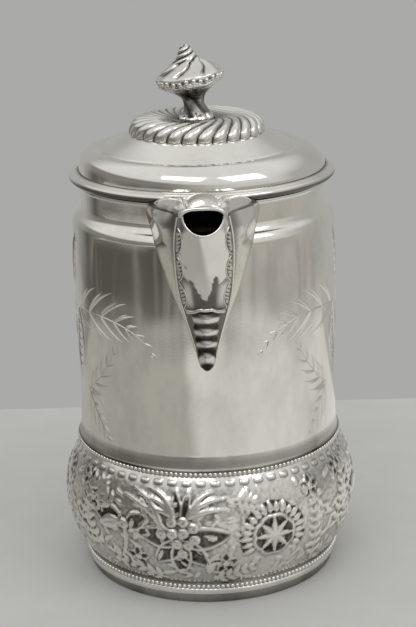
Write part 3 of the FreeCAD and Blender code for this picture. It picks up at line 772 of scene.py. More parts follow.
def spout_darkening(place, drop):
    """Darkening of the spout: along the borders, ragged on the wings, painted shade in the wings' corners
    and a painted dark reflection over the panel's foot.
    """
    ragged = blur(np.random.default_rng(11).uniform(-1, 1, place.shape), 4)
    out = np.abs(place)
    patchy = smoothstep(8, 26, drop) * smoothstep(48, 36, drop)
    edge = out + (0.25 + 0.9 * patchy) * ragged + 0.08 * patchy
    edge = 0.7 * smoothstep(0.7, 0.86, edge) * smoothstep(1.25, 1.0, out)
    # Painted dark reflection over the panel's foot, with two pale ovals left in it.
    run = 29 + 10.5 * hump(place, 0, 0.22) - 6 * hump(place, 0.24, 0.07) + 7 * ragged
    run = run - 3 * smoothstep(-0.3, -0.6, place)
    foot = 0.8 * smoothstep(run, run + 1.8, drop)
    for middle, width in ((-0.5, 0.14), (0.56, 0.22)):
        foot = foot * (1 - 0.9 * np.exp(-(((place - middle) / width) ** 4) - ((drop - 38) / 6.8) ** 4))
    foot = np.where(out < 1, foot, 0)
    # Painted shade in the wings' corners where they meet the drum, with ragged darker patches over the
    # wings.
    wings = 0.5 * smoothstep(1.75, 2.0, out) + 0.3 * smoothstep(0.3, 1.0, ragged * 3 * (out > 1))
    return np.clip(np.maximum(np.maximum(edge, foot), wings), 0, 1)


spout_outer, outer_place, outer_drop = spout_side(0, SPOUT_FOOT, 150)
spout_inner, _, _ = spout_side(WALL, CHANNEL_FOOT, 50)
spout_parts = [
    sheet(spout_outer, spout_darkening(outer_place, outer_drop)),
    # Painted shade: the channel's inner face and its floor are nearly black.
    sheet(spout_inner, UNLIT),
    sheet([spout_outer[0], spout_inner[0]]),
    sheet([spout_inner[-1], spout_inner[-1] * [0, 1, 1]], UNLIT),
]
add_piece("spout", spout_parts, polished_silver, "pot", ["spout_shell"], sharp=45)

# Spout borders: wires along both edges of the panel, a rolled lip at the mouth, and small cast leaves.
# All are soldered on the panel. The leaves stand in scalloped fields, where tarnish has stayed.
FIELD = 14.5
FIELD_TARNISH = 0.8
EDGE_WIRE, FIELD_WIRE, LIP_WIRE = 0.55, 0.34, 0.62
LEAVES, LEAF_STEP = 21, 2.05


def panel_point(x, z, lift=0.0):
    """The point of the front panel at a place across and a height, lifted off the sheet."""
    _, panel, edge, keel = spout_sizes(z)
    radius, centre, _ = panel_arc(panel, edge, keel)
    deep = np.sqrt(np.maximum(radius**2 - np.asarray(x, float) ** 2, 0))
    grown = 1 + lift / radius
    return np.stack(np.broadcast_arrays(x * grown, centre - deep * grown, z), axis=-1)


def tube(line, radius, tarnish_and_shade=0.0, sides=10):
    """A round wire along points."""
    along = unit(np.gradient(line, axis=0))
    side = unit(np.cross(along, [0.0, 0.3, 1.0]))
    up = np.cross(side, along)
    turn = turns(sides)[:, None]
    ring = side[:, None] * np.cos(turn) + up[:, None] * np.sin(turn)
    thick = np.broadcast_to(radius, len(line))[:, None, None]
    return sheet(line[:, None] + ring * thick, tarnish_and_shade, ring=True)


def leaf_boss(root, tip, normal, width, height, tarnish_and_shade=0.0, rows=9, cols=5):
    """A small raised leaf from root to tip, domed along a normal, with a creased middle."""
    along = tip - root
    side = unit(np.cross(normal, along))
    s = np.linspace(0, 1, rows)[:, None]
    t = np.linspace(-1, 1, cols)[None, :]
    half = width / 2 * np.sin(math.pi * np.clip(s, 0.03, 0.985) ** 0.8)
    lift = height * (1 - t**2) * np.sin(math.pi * np.clip(s, 0.04, 0.97)) * (1 - 0.35 * (t == 0)) - 0.15
    points = root + along * s[..., None] + side * (half * t)[..., None] + unit(normal) * lift[..., None]
    return sheet(points, tarnish_and_shade)


def field_width(drop):
    """Width of the scalloped field inside the edge wire at a drop below the mouth."""
    return 0.7 + 2.9 * np.abs(np.sin(math.pi * (drop - 3) / FIELD)) ** 0.75


lip_turn = np.linspace(-1.5, 1.5, 41)
borders = [tube(panel_point(NOTCH * np.sin(lip_turn), NOTCH_Z - NOTCH * np.cos(lip_turn), 0.25), LIP_WIRE)]
edge_levels = np.linspace(MOUTH + 1.6, MOUTH - 70, 84)
edge_half = spout_sizes(edge_levels)[1]
levels = np.linspace(MOUTH + 1.6, MOUTH - 47.5, 60)
panel_half = spout_sizes(levels)[1]
below_lip = 6
for side in (-1, 1):
    borders.append(tube(panel_point(side * edge_half * 0.985, edge_levels, 0.15), EDGE_WIRE))
    inner_edge = panel_point(side * (panel_half - field_width(MOUTH - levels)), levels, 0.05)
    borders.append(tube(inner_edge[below_lip:], FIELD_WIRE, 0.05))
    ground = []
    for part in (0, 0.5, 1):
        across = panel_half - 0.3 - part * (field_width(MOUTH - levels) - 0.5)
        ground.append(panel_point(side * across, levels, 0.07)[below_lip:])
    borders.append(sheet(ground, FIELD_TARNISH))
    for index in range(LEAVES):
        drop = 4.4 + index * LEAF_STEP
        deep = field_width(drop)
        if deep > 1.9:
            half = spout_sizes(MOUTH - drop)[1]
            root = panel_point(side * (half - 0.8), MOUTH - drop - 1.2)
            tip = panel_point(side * (half - deep + 0.3), MOUTH - drop + 1.6, 0.2)
            seat = side * half * 0.8
            normal = panel_point(seat, MOUTH - drop, 5) - panel_point(seat, MOUTH - drop)
            borders.append(leaf_boss(root, tip, normal, 1.7, 1.0, 0.03))
add_piece("spout_borders", borders, chased_silver, "pot", sharp=60)

# Cast drop: four ridges that shrink downwards, under an arched collar that ends in two small curls.
# It is cast in one piece and soldered over the spout's keel, below the panel.
ridge_drops = np.array([48.0, 55.5, 62.4, 69.2, 80.6])
ridge_halves = np.array([6.9, 6.4, 5.6, 5.0, 3.6])
RIDGE_HEIGHT, TIP_DROP, TIP_LENGTH = 3.1, 76, 4.7
COLLAR_HALF, COLLAR_DROP, COLLAR_WIRE, CURL = 7.6, 48.2, 1.0, 1.15
RIDGE_PAINTED_SHADE, COLLAR_TARNISH = 0.92, 0.12


def ridges(rows=72, cols=21):
    """The ridges over the keel, with a painted highlight along their upper sides and painted shade below."""
    drop = np.linspace(ridge_drops[0], ridge_drops[-1], rows)
    low = np.clip(np.searchsorted(ridge_drops, drop, side="right") - 1, 0, len(ridge_drops) - 2)
    across = (drop - ridge_drops[low]) / (ridge_drops[low + 1] - ridge_drops[low])
    swell = half_round(2 * across - 1)
    half = np.interp(drop, ridge_drops, ridge_halves) * (0.74 + 0.26 * swell)
    half *= np.where(drop > TIP_DROP, half_round((drop - TIP_DROP) / TIP_LENGTH), 1)
    height = 0.2 + RIDGE_HEIGHT * swell
    keel = np.stack([0 * drop, -spout_sizes(MOUTH - drop)[3], MOUTH - drop], axis=-1)
    normal = unit(np.cross(np.gradient(keel, axis=0), [1.0, 0, 0]))
    normal *= -np.sign(normal[:, 1:2])
    turn = np.linspace(-1.75, 1.75, cols)
    rise = height[:, None] * np.cos(turn) - 0.35 * np.sin(turn) ** 2 * half[:, None]
    points = keel[:, None] + normal[:, None] * rise[..., None]
    points[..., 0] += half[:, None] * np.sin(turn)
    # Painted highlight along the upper side of each ridge, flattened towards the sides; below it the ridge
    # is painted dark as shade.
    lower = across[:, None] - 0.55 * (1 - np.cos(turn))
    painted_highlight = smoothstep(0.02, 0.16, lower) * smoothstep(0.52, 0.34, lower)
    painted_highlight = painted_highlight * smoothstep(0.0, 0.4, np.cos(turn))
    return sheet(points, RIDGE_PAINTED_SHADE * (1 - painted_highlight))


collar_x = np.linspace(-COLLAR_HALF, COLLAR_HALF, 25)
collar_arch = 2.2 * np.cos(collar_x / COLLAR_HALF * math.pi / 2) - 0.25 * np.cos(collar_x * TAU / 5.1)
collar_line = panel_point(collar_x, MOUTH - COLLAR_DROP + collar_arch, 0.5)
drop_parts = [ridges(), tube(collar_line, COLLAR_WIRE, COLLAR_TARNISH)]
for side in (-1, 1):
    curl = ball(panel_point(side * (COLLAR_HALF + 0.2), MOUTH - COLLAR_DROP + 0.2, 0.4), CURL)
    drop_parts.append(sheet(curl, COLLAR_TARNISH, ring=True))
add_piece("cast_drop", drop_parts, chased_silver, "pot", ["spout_drop"], sharp=80)

# Handle: a hollow silver grip between two turned sockets on the drum, parted from them by ivory insulators.
# The grip is bent from tube, with a collar at each end and a spray of leaves for the thumb.
# Brass pins through the tenons hold it together.
HANDLE_Z = 172.0
SOCKET_ROOT, SOCKET_END = 65.2, 78.0
INSULATOR = 6.0
GRIP_WIDE, GRIP_DEEP, GRIP_SIDES = 6.6, 5.0, 36
grip_bends = ((22.0, 95.0), (80.0, 35.0), (18.0, 50.0))
thumb_leaves = ((12, 0.0, 15), (12, 0.75, 12), (12, -0.75, 12), (9, 1.15, 9), (9, -1.15, 9))


def grip_line(count=22):
    """The grip's centre line as (y, z, heading): a straight run, then arcs that lead downwards."""
    y, z, ahead = SOCKET_END + INSULATOR, HANDLE_Z, 0.0
    line = [(y, z, ahead), (y + 4, z, ahead)]
    y += 8.0
    for radius, turn in grip_bends:
        cy, cz = y + radius * math.sin(ahead), z - radius * math.cos(ahead)
        for share in np.linspace(0, 1, count, endpoint=False):
            h = ahead - math.radians(turn) * share
            line.append((cy - radius * math.sin(h), cz + radius * math.cos(h), h))
        ahead -= math.radians(turn)
        y, z = cy - radius * math.sin(ahead), cz + radius * math.cos(ahead)
    return np.array(line + [(y, z, ahead)])


grip = grip_line()
reach = np.concatenate([[0], np.cumsum(np.hypot(np.diff(grip[:, 0]), np.diff(grip[:, 1])))])
share = reach / reach[-1]
collars = hump(share, 0.02, 0.012) + hump(share, 0.98, 0.012)
thick = 0.84 + 0.16 * np.sin(math.pi * share) ** 0.7 + 0.14 * collars
turn = turns(GRIP_SIDES)
out = np.stack([0 * share, -np.sin(grip[:, 2]), np.cos(grip[:, 2])], axis=-1)
grip_middle = np.stack([0 * share, grip[:, 0], grip[:, 1]], axis=-1)
grip_points = grip_middle[:, None] + GRIP_DEEP * (thick[:, None] * out)[:, None] * np.sin(turn)[:, None]
grip_points[..., 0] = GRIP_WIDE * thick[:, None] * np.cos(turn)
grip_parts = [sheet(grip_points, ring=True)]
for row in (0, -1):
    end_middle = np.tile(grip_points[row].mean(axis=0), (GRIP_SIDES, 1))
    grip_parts.append(sheet([grip_points[row], end_middle], ring=True))
for place, spread, length in thumb_leaves:
    normal = math.cos(spread) * out[place] + [math.sin(spread), 0, 0]
    root = grip_middle[place] + normal * [6.3, 4.8, 4.8]
    along = np.array([0, math.cos(grip[place, 2]), math.sin(grip[place, 2])])
    tip = root + along * (length - 4) + normal * 0.4
    grip_parts.append(leaf_boss(root - along * 4, tip, normal, 4.6, 1.5))
add_piece("grip", grip_parts, worn_silver, "pot", ["handle_grip"], sharp=50)


def mottled(name, pale, deep, grain, stretch, detail, gloss, metallic):
    """A plain material that varies finely between two colours, with a grain in millimetres."""
    material, tree = new_material(name)
    place = add_node(tree, "TexCoord").outputs["Object"]
    drawn = add_node(tree, "Mapping", {"Vector": place, "Scale": stretch})
    noise = add_node(tree, "TexNoise", {"Vector": drawn, "Scale": 1 / (grain * MM), "Detail": detail})
    tint = add_node(tree, "Mix", {"Factor": noise, 6: colour(pale), 7: colour(deep)}, data_type="RGBA")
    uneven = {"Value": noise, "From Min": 0.3, "From Max": 0.7, "To Min": gloss[0], "To Max": gloss[1]}
    rough = add_node(tree, "MapRange", uneven)
    surface = {"Base Color": tint.outputs[2], "Roughness": rough, "Metallic": metallic}
    add_node(tree, "OutputMaterial", {"Surface": add_node(tree, "BsdfPrincipled", surface)})
    return material


# Turned ivory has a fine grain along its length and a soft, waxy polish.
ivory = mottled("ivory_insulator", "#e7dcc0", "#cdb88c", 1.2, (1.0, 0.15, 1.0), 3.0, (0.28, 0.42), 0.0)
# Turned brass, left plain, has a thin brown film over a yellow shine.
brass = mottled("turned_brass", "#d8b878", "#8c6c3c", 3.0, (1.0, 1.0, 1.0), 4.0, (0.22, 0.4), 1.0)


def turned(profile, start, z, segments=64):
    """An outline of (radius, distance from a start) turned about a line along Y at a height."""
    profile = np.asarray(profile, float)
    r, y = profile[:, :1], start + profile[:, 1:]
    turn = turns(segments)
    points = np.stack(np.broadcast_arrays(r * np.cos(turn), y, z + r * np.sin(turn)), axis=-1)
    return sheet(points, ring=True)


socket_foot = [(9.4, 0), (9.4, 1.7), (8.6, 2.4), (7.5, 3.4), (6.9, 5.3)]
socket_ring = [(6.7, -4.0), (6.9, -3.2), (7.7, -2.8), (7.9, -2.0), (7.7, -1.2), (7.0, -0.8)]
socket_ring += [(6.8, 0), (3.0, 0)]
half_disc = [(3.0, 0), (6.9, 0), (7.3, 0.4), (7.4, 1.0), (7.4, 2.4), (7.1, 2.7)]
disc = half_disc + [(r, INSULATOR - y) for r, y in half_disc[::-1]]
handle_ends = (("upper", HANDLE_Z, SOCKET_END), ("lower", grip[-1, 1], grip[-1, 0] - INSULATOR))
for end, z, mouth in handle_ends:
    outline = [(r, SOCKET_ROOT + y) for r, y in socket_foot] + [(r, mouth + y) for r, y in socket_ring]
    nodes = [f"handle_{end}_socket"]
    add_piece(f"{end}_socket", [turned(outline, 0, z)], worn_silver, "pot", nodes, sharp=50)
for end, z, mouth in handle_ends:
    nodes = [f"handle_{end}_insulator"]
    add_piece(f"{end}_insulator", [turned(disc, mouth, z)], ivory, "pot", nodes, sharp=50)
finish_node("handle_pins", brass)

# Hinge: two knuckles on a leaf soldered to the pot, one on a leaf soldered to the lid, and a brass pin.
# It sits at the back of the lid, above the handle, and the solids of the frame are used as they are.
finish_node("hinge_body_leaf", worn_silver)
finish_node("hinge_lid_leaf", worn_silver)
finish_node("hinge_pin", brass)

# Lid flange: the lid's rolled edge, spun from sheet. A bezel soldered under it drops into the mouth.
# Its underside is dull and painted dark as a painted reflection of the drum, and a dark line is left where
# the dome is soldered in.
FLANGE_LOW = 204.5
UNDERSIDE_PAINTED_REFLECTION, JOINT_TARNISH = 0.85, 0.7
flange_outline = [(59.2, FLANGE_LOW), (64.5, FLANGE_LOW)]
flange_outline += arc((64.5, FLANGE_LOW), (66.3, 206.3), (64.5, 208.1), 16)
flange_outline += [(63.4, 208.62), (62.3, 209.05), (62.0, 209.0), (61.75, 208.6), (58.4, 208.6)]
flange_outline += [(58.4, 208.1), (61.6, 208.1), (62.7, 205.7), (59.2, 205.7)]
flange_points = lathe(flange_outline)
flange_reach = np.hypot(flange_points[..., 0], flange_points[..., 1])
# Painted dark reflection on the flange's underside; the line at the dome's joint is a dark solder line.
flange_reflection_and_joint = UNDERSIDE_PAINTED_REFLECTION * smoothstep(207.4, 206.0, flange_points[..., 2])
flange_reflection_and_joint = flange_reflection_and_joint + JOINT_TARNISH * smoothstep(62.6, 62.1, flange_reach)
flange_parts = [sheet(flange_points, flange_reflection_and_joint, ring=True, closed=True)]
add_piece("flange", flange_parts, polished_silver, "lid", ["lid_flange"])
finish_node("lid_bezel", inner_silver)

# Lid dome: a dome with a step and a raised crown, spun from sheet and soldered into the flange.
# Its top has been set a little left of the middle, and what is fixed on it with it.
CROWN_SHIFT, STUD_HOLE = 2.0, 3.0
dome_outline = [(61.5, 208.62), (61.5, 209.4)]
dome_outline += arc((61.5, 209.4), (58.05, 217.0), (49.6, 219.5), 26)
dome_outline += [(48.9, 219.35), (48.45, 219.15), (48.05, 219.45)]
dome_outline += arc((48.05, 219.45), (41.0, 222.35), (34.0, 225.9), 10)
dome_outline += [(21, 227.4), (8, 229.0), (2.2, 229.0)]
dome_outline += [(2.2, 227.8), (8, 227.8), (34.5, 224.6), (47.9, 218.3)]
dome_outline += arc((47.9, 218.3), (56.6, 215.4), (60.3, 209.3), 14) + [(60.3, 208.62)]


def shifted(points):
    """Points moved left above the lid's shoulder, apart from the hole for the finial's stud."""
    points = np.array(points, float)
    stud_hole = (np.hypot(points[..., 0], points[..., 1]) < STUD_HOLE) & (points[..., 2] < 232)
    points[..., 0] -= np.where(stud_hole, 0, CROWN_SHIFT * smoothstep(210, 219, points[..., 2]))
    return points


# The same polished plate, but the crown above the step is rubbed to a satin and mirrors only soft light.
crowned_silver = silver(
    "silver_plate_with_satin_crown",
    clean="#eceae5",
    dull="#3f3b34",
    gloss=(0.04, 0.12),
    cloud=26,
    scratch=0.10,
    wave=0.5,
    wear=0.15,
    satin_above=219.2,
)
dome_parts = [sheet(shifted(lathe(dome_outline)), ring=True, closed=True)]
add_piece("dome", dome_parts, crowned_silver, "lid", ["lid_dome"])

# Spout cover: a hood over the pouring channel between two lobes over the spout's wings, cast in one piece.
# It is soldered to the flange and lifts with the lid. It is painted dark beside the hood and at the edge, as
# shade in the crease and under the lobes' rolled edge.
COVER_BACK, COVER_FRONT, WINGS_FRONT = -63.5, -103.9, -94.5
COVER_SEAT = 0.3
LOBE, LOBE_ROLL, HOOD, HOOD_HALF = 5.2, 6.5, 4.9, 10.7
CHANNEL, CHANNEL_ARCH, CHANNEL_POWER = 9.2, 2.9, 3.4
LIP_Y, LIP_HALF, LIP_ARCH = -103.4, 9.9, 2.7


def cover_half(y):
    """Half width of the cover: the spout's top outline with a small overhang."""
    share = np.clip((y - WINGS_FRONT) / 32.5, 0, 1)
    wings = 11.2 + 16.6 * share + 3.4 * np.sin(math.pi * share**0.75) - TUCK * smoothstep(0, 0.3, share)
    return np.where(y < WINGS_FRONT, 11.3 - 0.55 * (np.clip(WINGS_FRONT - y, 0, 12) / 9.4) ** 2, wings)


def flat_arch(across):
    """Height of a flat-topped arch: 1 over most of its width, 0 at -1 and 1."""
    return (1 - np.clip(np.abs(across), 0, 1) ** CHANNEL_POWER) ** 0.5


def cover_sheets(rows=44, cols=65):
    """The cover's upper face, its underside with the channel, and the strip between them at the front."""
    y = np.linspace(COVER_BACK, COVER_FRONT, rows)[:, None]
    s = np.sin(np.linspace(-1, 1, cols) * math.pi / 2)
    x = cover_half(y) * s
    plane = rim_z(y) + COVER_SEAT
    inward = np.clip((cover_half(y) - np.abs(x)) / LOBE_ROLL, 0, 1)
    lobe = LOBE * np.sqrt(1 - (1 - inward) ** 2) * smoothstep(4.0, 10.0, np.abs(x))
    lobe = lobe * smoothstep(-104, -92, y) * (1 - 0.55 * smoothstep(-74, COVER_BACK, y))
    top_z = plane + np.maximum(HOOD * half_round(x / HOOD_HALF), lobe)
    upper = np.stack(np.broadcast_arrays(x, y, top_z), axis=-1)
    t = np.linspace(-1.5, 1.5, cols)
    channel = CHANNEL * np.sin(np.clip(t, -1, 1) * math.pi / 2)
    under_x = channel + (cover_half(y) - CHANNEL) * np.sign(t) * np.clip(np.abs(t) - 1, 0, 0.5) / 0.5
    under_z = plane + CHANNEL_ARCH * flat_arch(channel / CHANNEL)
    lower = np.stack(np.broadcast_arrays(under_x, y, under_z), axis=-1)
    # Painted shade in the crease beside the hood and under the lobes' rolled edge.
    crease = 0.45 * hump(np.abs(x), 10.9, 0.8) * smoothstep(-98, -92, y)
    border = 0.75 * smoothstep(0.985, 0.997, np.abs(s)) * smoothstep(-96, -92, y)
    return [sheet(upper, np.maximum(border, crease)), sheet(lower), sheet([upper[-1], lower[-1]])]


hood_turn = np.linspace(-1.35, 1.35, 33)
lip_thick = 0.55 + 0.4 * np.cos(hood_turn)
lip_z = rim_z(LIP_Y) + COVER_SEAT + lip_thick + LIP_ARCH * flat_arch(np.sin(hood_turn))
hood_lip = tube(np.stack([LIP_HALF * np.sin(hood_turn), LIP_Y + 0 * hood_turn, lip_z], axis=-1), lip_thick)
add_piece("cover", cover_sheets() + [hood_lip], polished_silver, "lid", ["spout_cover"], sharp=50)

# Gadrooned ring: a swelling ring of swirling lobes, stamped from sheet and soldered on the crown.
# Tarnish has stayed in the valleys between the lobes and around the finial's foot.
GADROONS, STEPS_PER_LOBE, RING_ROWS = 27, 16, 34
RING_INNER, RING_SEAT_Z = 9.4, 231.8
SWIRL = math.radians(54)
RING_LINING = 0.5
ring_places = [0, 0.05, 0.18, 0.32, 0.45, 0.65, 0.85, 1]
ring_radii = [33.6, 34.0, 33.7, 32.2, 29.4, 24.0, 16.0, RING_INNER]
ring_heights = [225.6, 226.6, 229.2, 231.9, 233.8, 234.9, 234.2, 232.4]


def ring_line(share, values):
    """The ring's line through values at its places, from its outer edge inwards, with eased corners."""
    line = np.interp(share, ring_places, values)
    for _ in range(3):
        line[1:-1] = (line[:-2] + 2 * line[1:-1] + line[2:]) / 4
    return line


share = np.linspace(0, 1, RING_ROWS)[:, None]
turn = turns(GADROONS * STEPS_PER_LOBE)
lobe = np.abs(np.sin(GADROONS / 2 * (turn - SWIRL * share**2.3)))
sink = np.interp(share, [0, 0.1, 0.5, 0.85, 1], [1.8, 2.2, 1.8, 1.0, 0.3]) * (1 - lobe**0.6)
outward = np.interp(share, [0, 0.2, 0.45, 0.6], [1.0, 0.95, 0.45, 0.1])
ring_radius = ring_line(share, ring_radii) - sink * outward
ring_height = ring_line(share, ring_heights) - sink * np.sqrt(1 - outward**2)
valley = np.interp(share, [0, 0.2, 0.5, 1], [0.3, 0.36, 0.62, 0.7])
ring_ends = 0.75 * smoothstep(0.75, 1.0, share) + 0.6 * smoothstep(0.05, 0.0, share)
ring_dark = np.maximum(0.92 * (1 - smoothstep(0.06, valley, lobe)), ring_ends)
ring_parts = [sheet(shifted(around(ring_radius, turn, ring_height)), ring_dark, ring=True)]
for outline in ([(33.2, 225.9), (9.0, 228.9)], [(RING_INNER, RING_SEAT_Z), (2.3, RING_SEAT_Z)]):
    ring_parts.append(sheet(shifted(lathe(outline, 96)), RING_LINING, ring=True))
add_piece("gadroons", ring_parts, chased_silver, "lid", ["gadroon_ring"], sharp=75)

# Finial: a cast turban on a waisted stem, with a beaded border, swirling lobes and a twisted tip.
# It leans to the left, as if it was knocked, and its stud goes through the lid to a brass washer and nut.
LEAN, LEAN_Z = math.radians(8), 234.4
FINIAL_LOBES, FINIAL_SEGMENTS = 7, 196
BORDER_Z, BORDER_RISE, BORDER_SWELL = 252.4, 1.5, 1.2
BORDER_BEADS, BORDER_BEAD, BORDER_RADIUS = 4 * FINIAL_LOBES, 1.45, 15.4
STUD, STUD_END, STUD_TARNISH = 2.0, 221.4, 0.3
finial_outline = [(7.2, 231.8), (8.6, 232.3), (9.1, 233.0), (8.5, 234.1), (7.2, 235.4), (6.2, 236.9)]
finial_outline += [(5.6, 238.6), (5.3, 240.4), (5.5, 242.2), (6.6, 244.2), (9.0, 246.2), (12.2, 248.0)]
finial_outline += [(14.8, 249.2), (16.3, 250.2), (16.3, 251.0), (15.3, 251.4), (15.3, 253.1), (16.2, 253.5)]
finial_outline += [(16.5, 254.3), (16.1, 255.2), (14.9, 256.4), (12.9, 258.0), (10.4, 259.6), (8.1, 261.0)]
finial_outline += [(6.4, 262.2), (5.4, 263.4), (4.7, 264.8), (4.0, 266.2), (3.2, 267.5), (2.2, 268.7)]
finial_outline += [(1.0, 269.4), (0.05, 269.6)]


def lean(points):
    """Tips points above the base over to the left."""
    points = np.asarray(points, float)
    angle = LEAN * smoothstep(LEAN_Z - 2, LEAN_Z + 3, points[..., 2])
    x, z = points[..., 0], points[..., 2] - LEAN_Z
    across = x * np.cos(angle) - z * np.sin(angle)
    up = z * np.cos(angle) + x * np.sin(angle)
    return shifted(np.stack([across, points[..., 1], LEAN_Z + up], axis=-1))


def turban():
    """The finial's turned line with flutes, border, lobes and twist cut in, dark where they are deep, with
    painted shade behind the border's beads and on the stem under the cap.
    """
    line = np.array(finial_outline)
    fine = np.linspace(0, len(line) - 1, 4 * len(line))
    radius, z = (np.interp(fine, np.arange(len(line)), values)[:, None] for values in line.T)
    turn = turns(FINIAL_SEGMENTS)
    crown = smoothstep(254.6, 256.5, z)
    tip = smoothstep(261.0, 263.5, z)
    swirl = 0.7 * smoothstep(254, 262, z) + 2.9 * np.clip((z - 261) / 8, 0, 1)
    arch = np.abs(np.cos(FINIAL_LOBES / 2 * turn))
    lobe = np.abs(np.cos(FINIAL_LOBES / 2 * (turn - swirl)))
    rope = np.abs(np.sin(1.5 * (turn - swirl * 2.3)))
    cut = crown * (1 - tip) * (1 - lobe) ** 1.5 * 2.6
    cut = cut + tip * (1 - rope**0.5) * np.interp(z, [262, 266, 269.6], [1.5, 1.4, 0.3])
    flutes = np.abs(np.sin(2.5 * turn + 0.3 * (z - 232)))
    petals = np.abs(np.sin(4 * turn))
    cut = cut + 1.2 * hump(z, 240.5, 4.5) * (1 - flutes**0.6)
    cut = cut + 1.3 * smoothstep(231.8, 232.4, z) * smoothstep(237, 234, z) * (1 - petals**0.6)
    border = hump(z, BORDER_Z + 0.2, 2.3)
    r = np.maximum(radius - cut + border * BORDER_SWELL * (arch - 0.6), 0.02)
    z = z + border * BORDER_RISE * (arch - 0.5)
    dark = crown * (1 - tip) * (1.12 - smoothstep(0.03, 0.3, lobe))
    dark = dark + tip * (1 - smoothstep(0.15, 0.6, rope))
    # Painted shade behind the border's beads and on the stem under the cap, lighter along the flutes'
    # crests.
    dark = dark + 0.8 * hump(z - BORDER_RISE * (arch - 0.5), BORDER_Z, 0.75)
    dark = dark + 0.95 * smoothstep(249.5, 246.5, z) * smoothstep(233.5, 236, z) * (1.1 - 0.45 * flutes)
    return sheet(lean(around(r, turn, z)), np.clip(dark, 0, 0.92), ring=True)


finial_parts = [turban()]
for turn in TAU * (np.arange(BORDER_BEADS) + 0.5) / BORDER_BEADS:
    arch = abs(math.cos(FINIAL_LOBES / 2 * turn))
    radius, z = BORDER_RADIUS + BORDER_SWELL * (arch - 0.6), BORDER_Z + BORDER_RISE * (arch - 0.5)
    bead = ball(lean(around(radius, turn, z)), BORDER_BEAD)
    finial_parts.append(sheet(bead, 0.05, ring=True))
stud_outline = [(STUD, RING_SEAT_Z), (STUD, STUD_END + 0.5), (1.6, STUD_END), (0.05, STUD_END)]
base_disc = shifted(lathe([(7.2, RING_SEAT_Z), (STUD, RING_SEAT_Z)], 32))
for points in (lathe(stud_outline, 32), base_disc):
    finial_parts.append(sheet(points, STUD_TARNISH, ring=True))
add_piece("turban_finial", finial_parts, chased_silver, "lid", ["finial"], sharp=70)
finish_node("finial_washer", brass)
finish_node("finial_nut", brass)

# Table: a plain, painted, pale top with a faint cloudiness, which ends at a grey wall.
# What the metal mirrors of it is a painted glow: a pool of light around the pot, lighter on the right and
# streaked further out, seen only by glossy rays.
TABLE_SIDE, TABLE_BACK, TABLE_CLOUD = 1600, 222, 25


def layered(tree, base, layers):
    """Colours laid over a base one by one, each fading in between a low and a high limit of a value."""
    for value, low, high, over in layers:
        share = add_node(tree, "MapRange", {"Value": value, "From Min": low, "From Max": high})
        base = add_node(tree, "Mix", {"Factor": share, 6: base, 7: over}, data_type="RGBA").outputs[2]
    return base


# Matt paint: pale, even, and without a shine of its own.
table_paint, tree = new_material("pale_table_top_with_painted_glow")
place = add_node(tree, "TexCoord").outputs["Object"]
clouds = add_node(tree, "TexNoise", {"Vector": place, "Scale": 1 / (TABLE_CLOUD * MM), "Detail": 5.0})
greys = {6: colour("#c6c6c3"), 7: colour("#cfcfcd")}
tint = add_node(tree, "Mix", {"Factor": clouds, **greys}, data_type="RGBA")
paint = add_node(tree, "BsdfPrincipled", {"Base Color": tint.outputs[2], "Roughness": 0.75})
right = add_node(tree, "SeparateXYZ", {"Vector": place}).outputs["X"]
away = add_node(tree, "VectorMath", {0: place}, operation="LENGTH").outputs["Value"]
slant = add_node(tree, "Math", {0: away, 1: 0.5, 2: right}, operation="MULTIPLY_ADD")
bearing = add_node(tree, "VectorMath", {0: place}, operation="NORMALIZE")
streaks = add_node(tree, "TexNoise", {"Vector": bearing, "Scale": 4.5, "Detail": 2.0})
shade = add_node(tree, "Math", {0: right, 1: 0.3, 2: streaks}, operation="MULTIPLY_ADD")
far = layered(tree, colour("#55534f"), [(shade, 0.36, 0.66, colour("#b3b0aa"))])
# Painted glow: glossy rays beyond about 90 mm from the pot see an emission, a painted pool of light and
# reflection.
painted_glow_layers = [
    (slant, 70 * MM, 120 * MM, colour("#d7d6d1")),
    (away, 460 * MM, 560 * MM, far),
    (away, 820 * MM, 950 * MM, colour("#b0ada7")),
]
painted_glow = add_node(tree, "Emission", {"Color": layered(tree, colour("#acaaa4"), painted_glow_layers), "Strength": 1.0})
mirrored = add_node(tree, "LightPath").outputs["Is Glossy Ray"]
clear = add_node(tree, "MapRange", {"Value": away, "From Min": 90 * MM, "From Max": 160 * MM})
share = add_node(tree, "Math", {0: mirrored, 1: clear}, operation="MULTIPLY")
add_node(tree, "OutputMaterial", {"Surface": add_node(tree, "MixShader", {0: share, 1: paint, 2: painted_glow})})

corners = [(-TABLE_SIDE, -TABLE_SIDE), (TABLE_SIDE, -TABLE_SIDE)]
corners += [(TABLE_SIDE, TABLE_BACK), (-TABLE_SIDE, TABLE_BACK)]
table_mesh = bpy.data.meshes.new("table")
table_mesh.from_pydata([(x * MM, y * MM, 0) for x, y in corners], [], [(0, 1, 2, 3)])
table_mesh.materials.append(table_paint)
table = bpy.data.objects.new("table", table_mesh)
bpy.context.collection.objects.link(table)

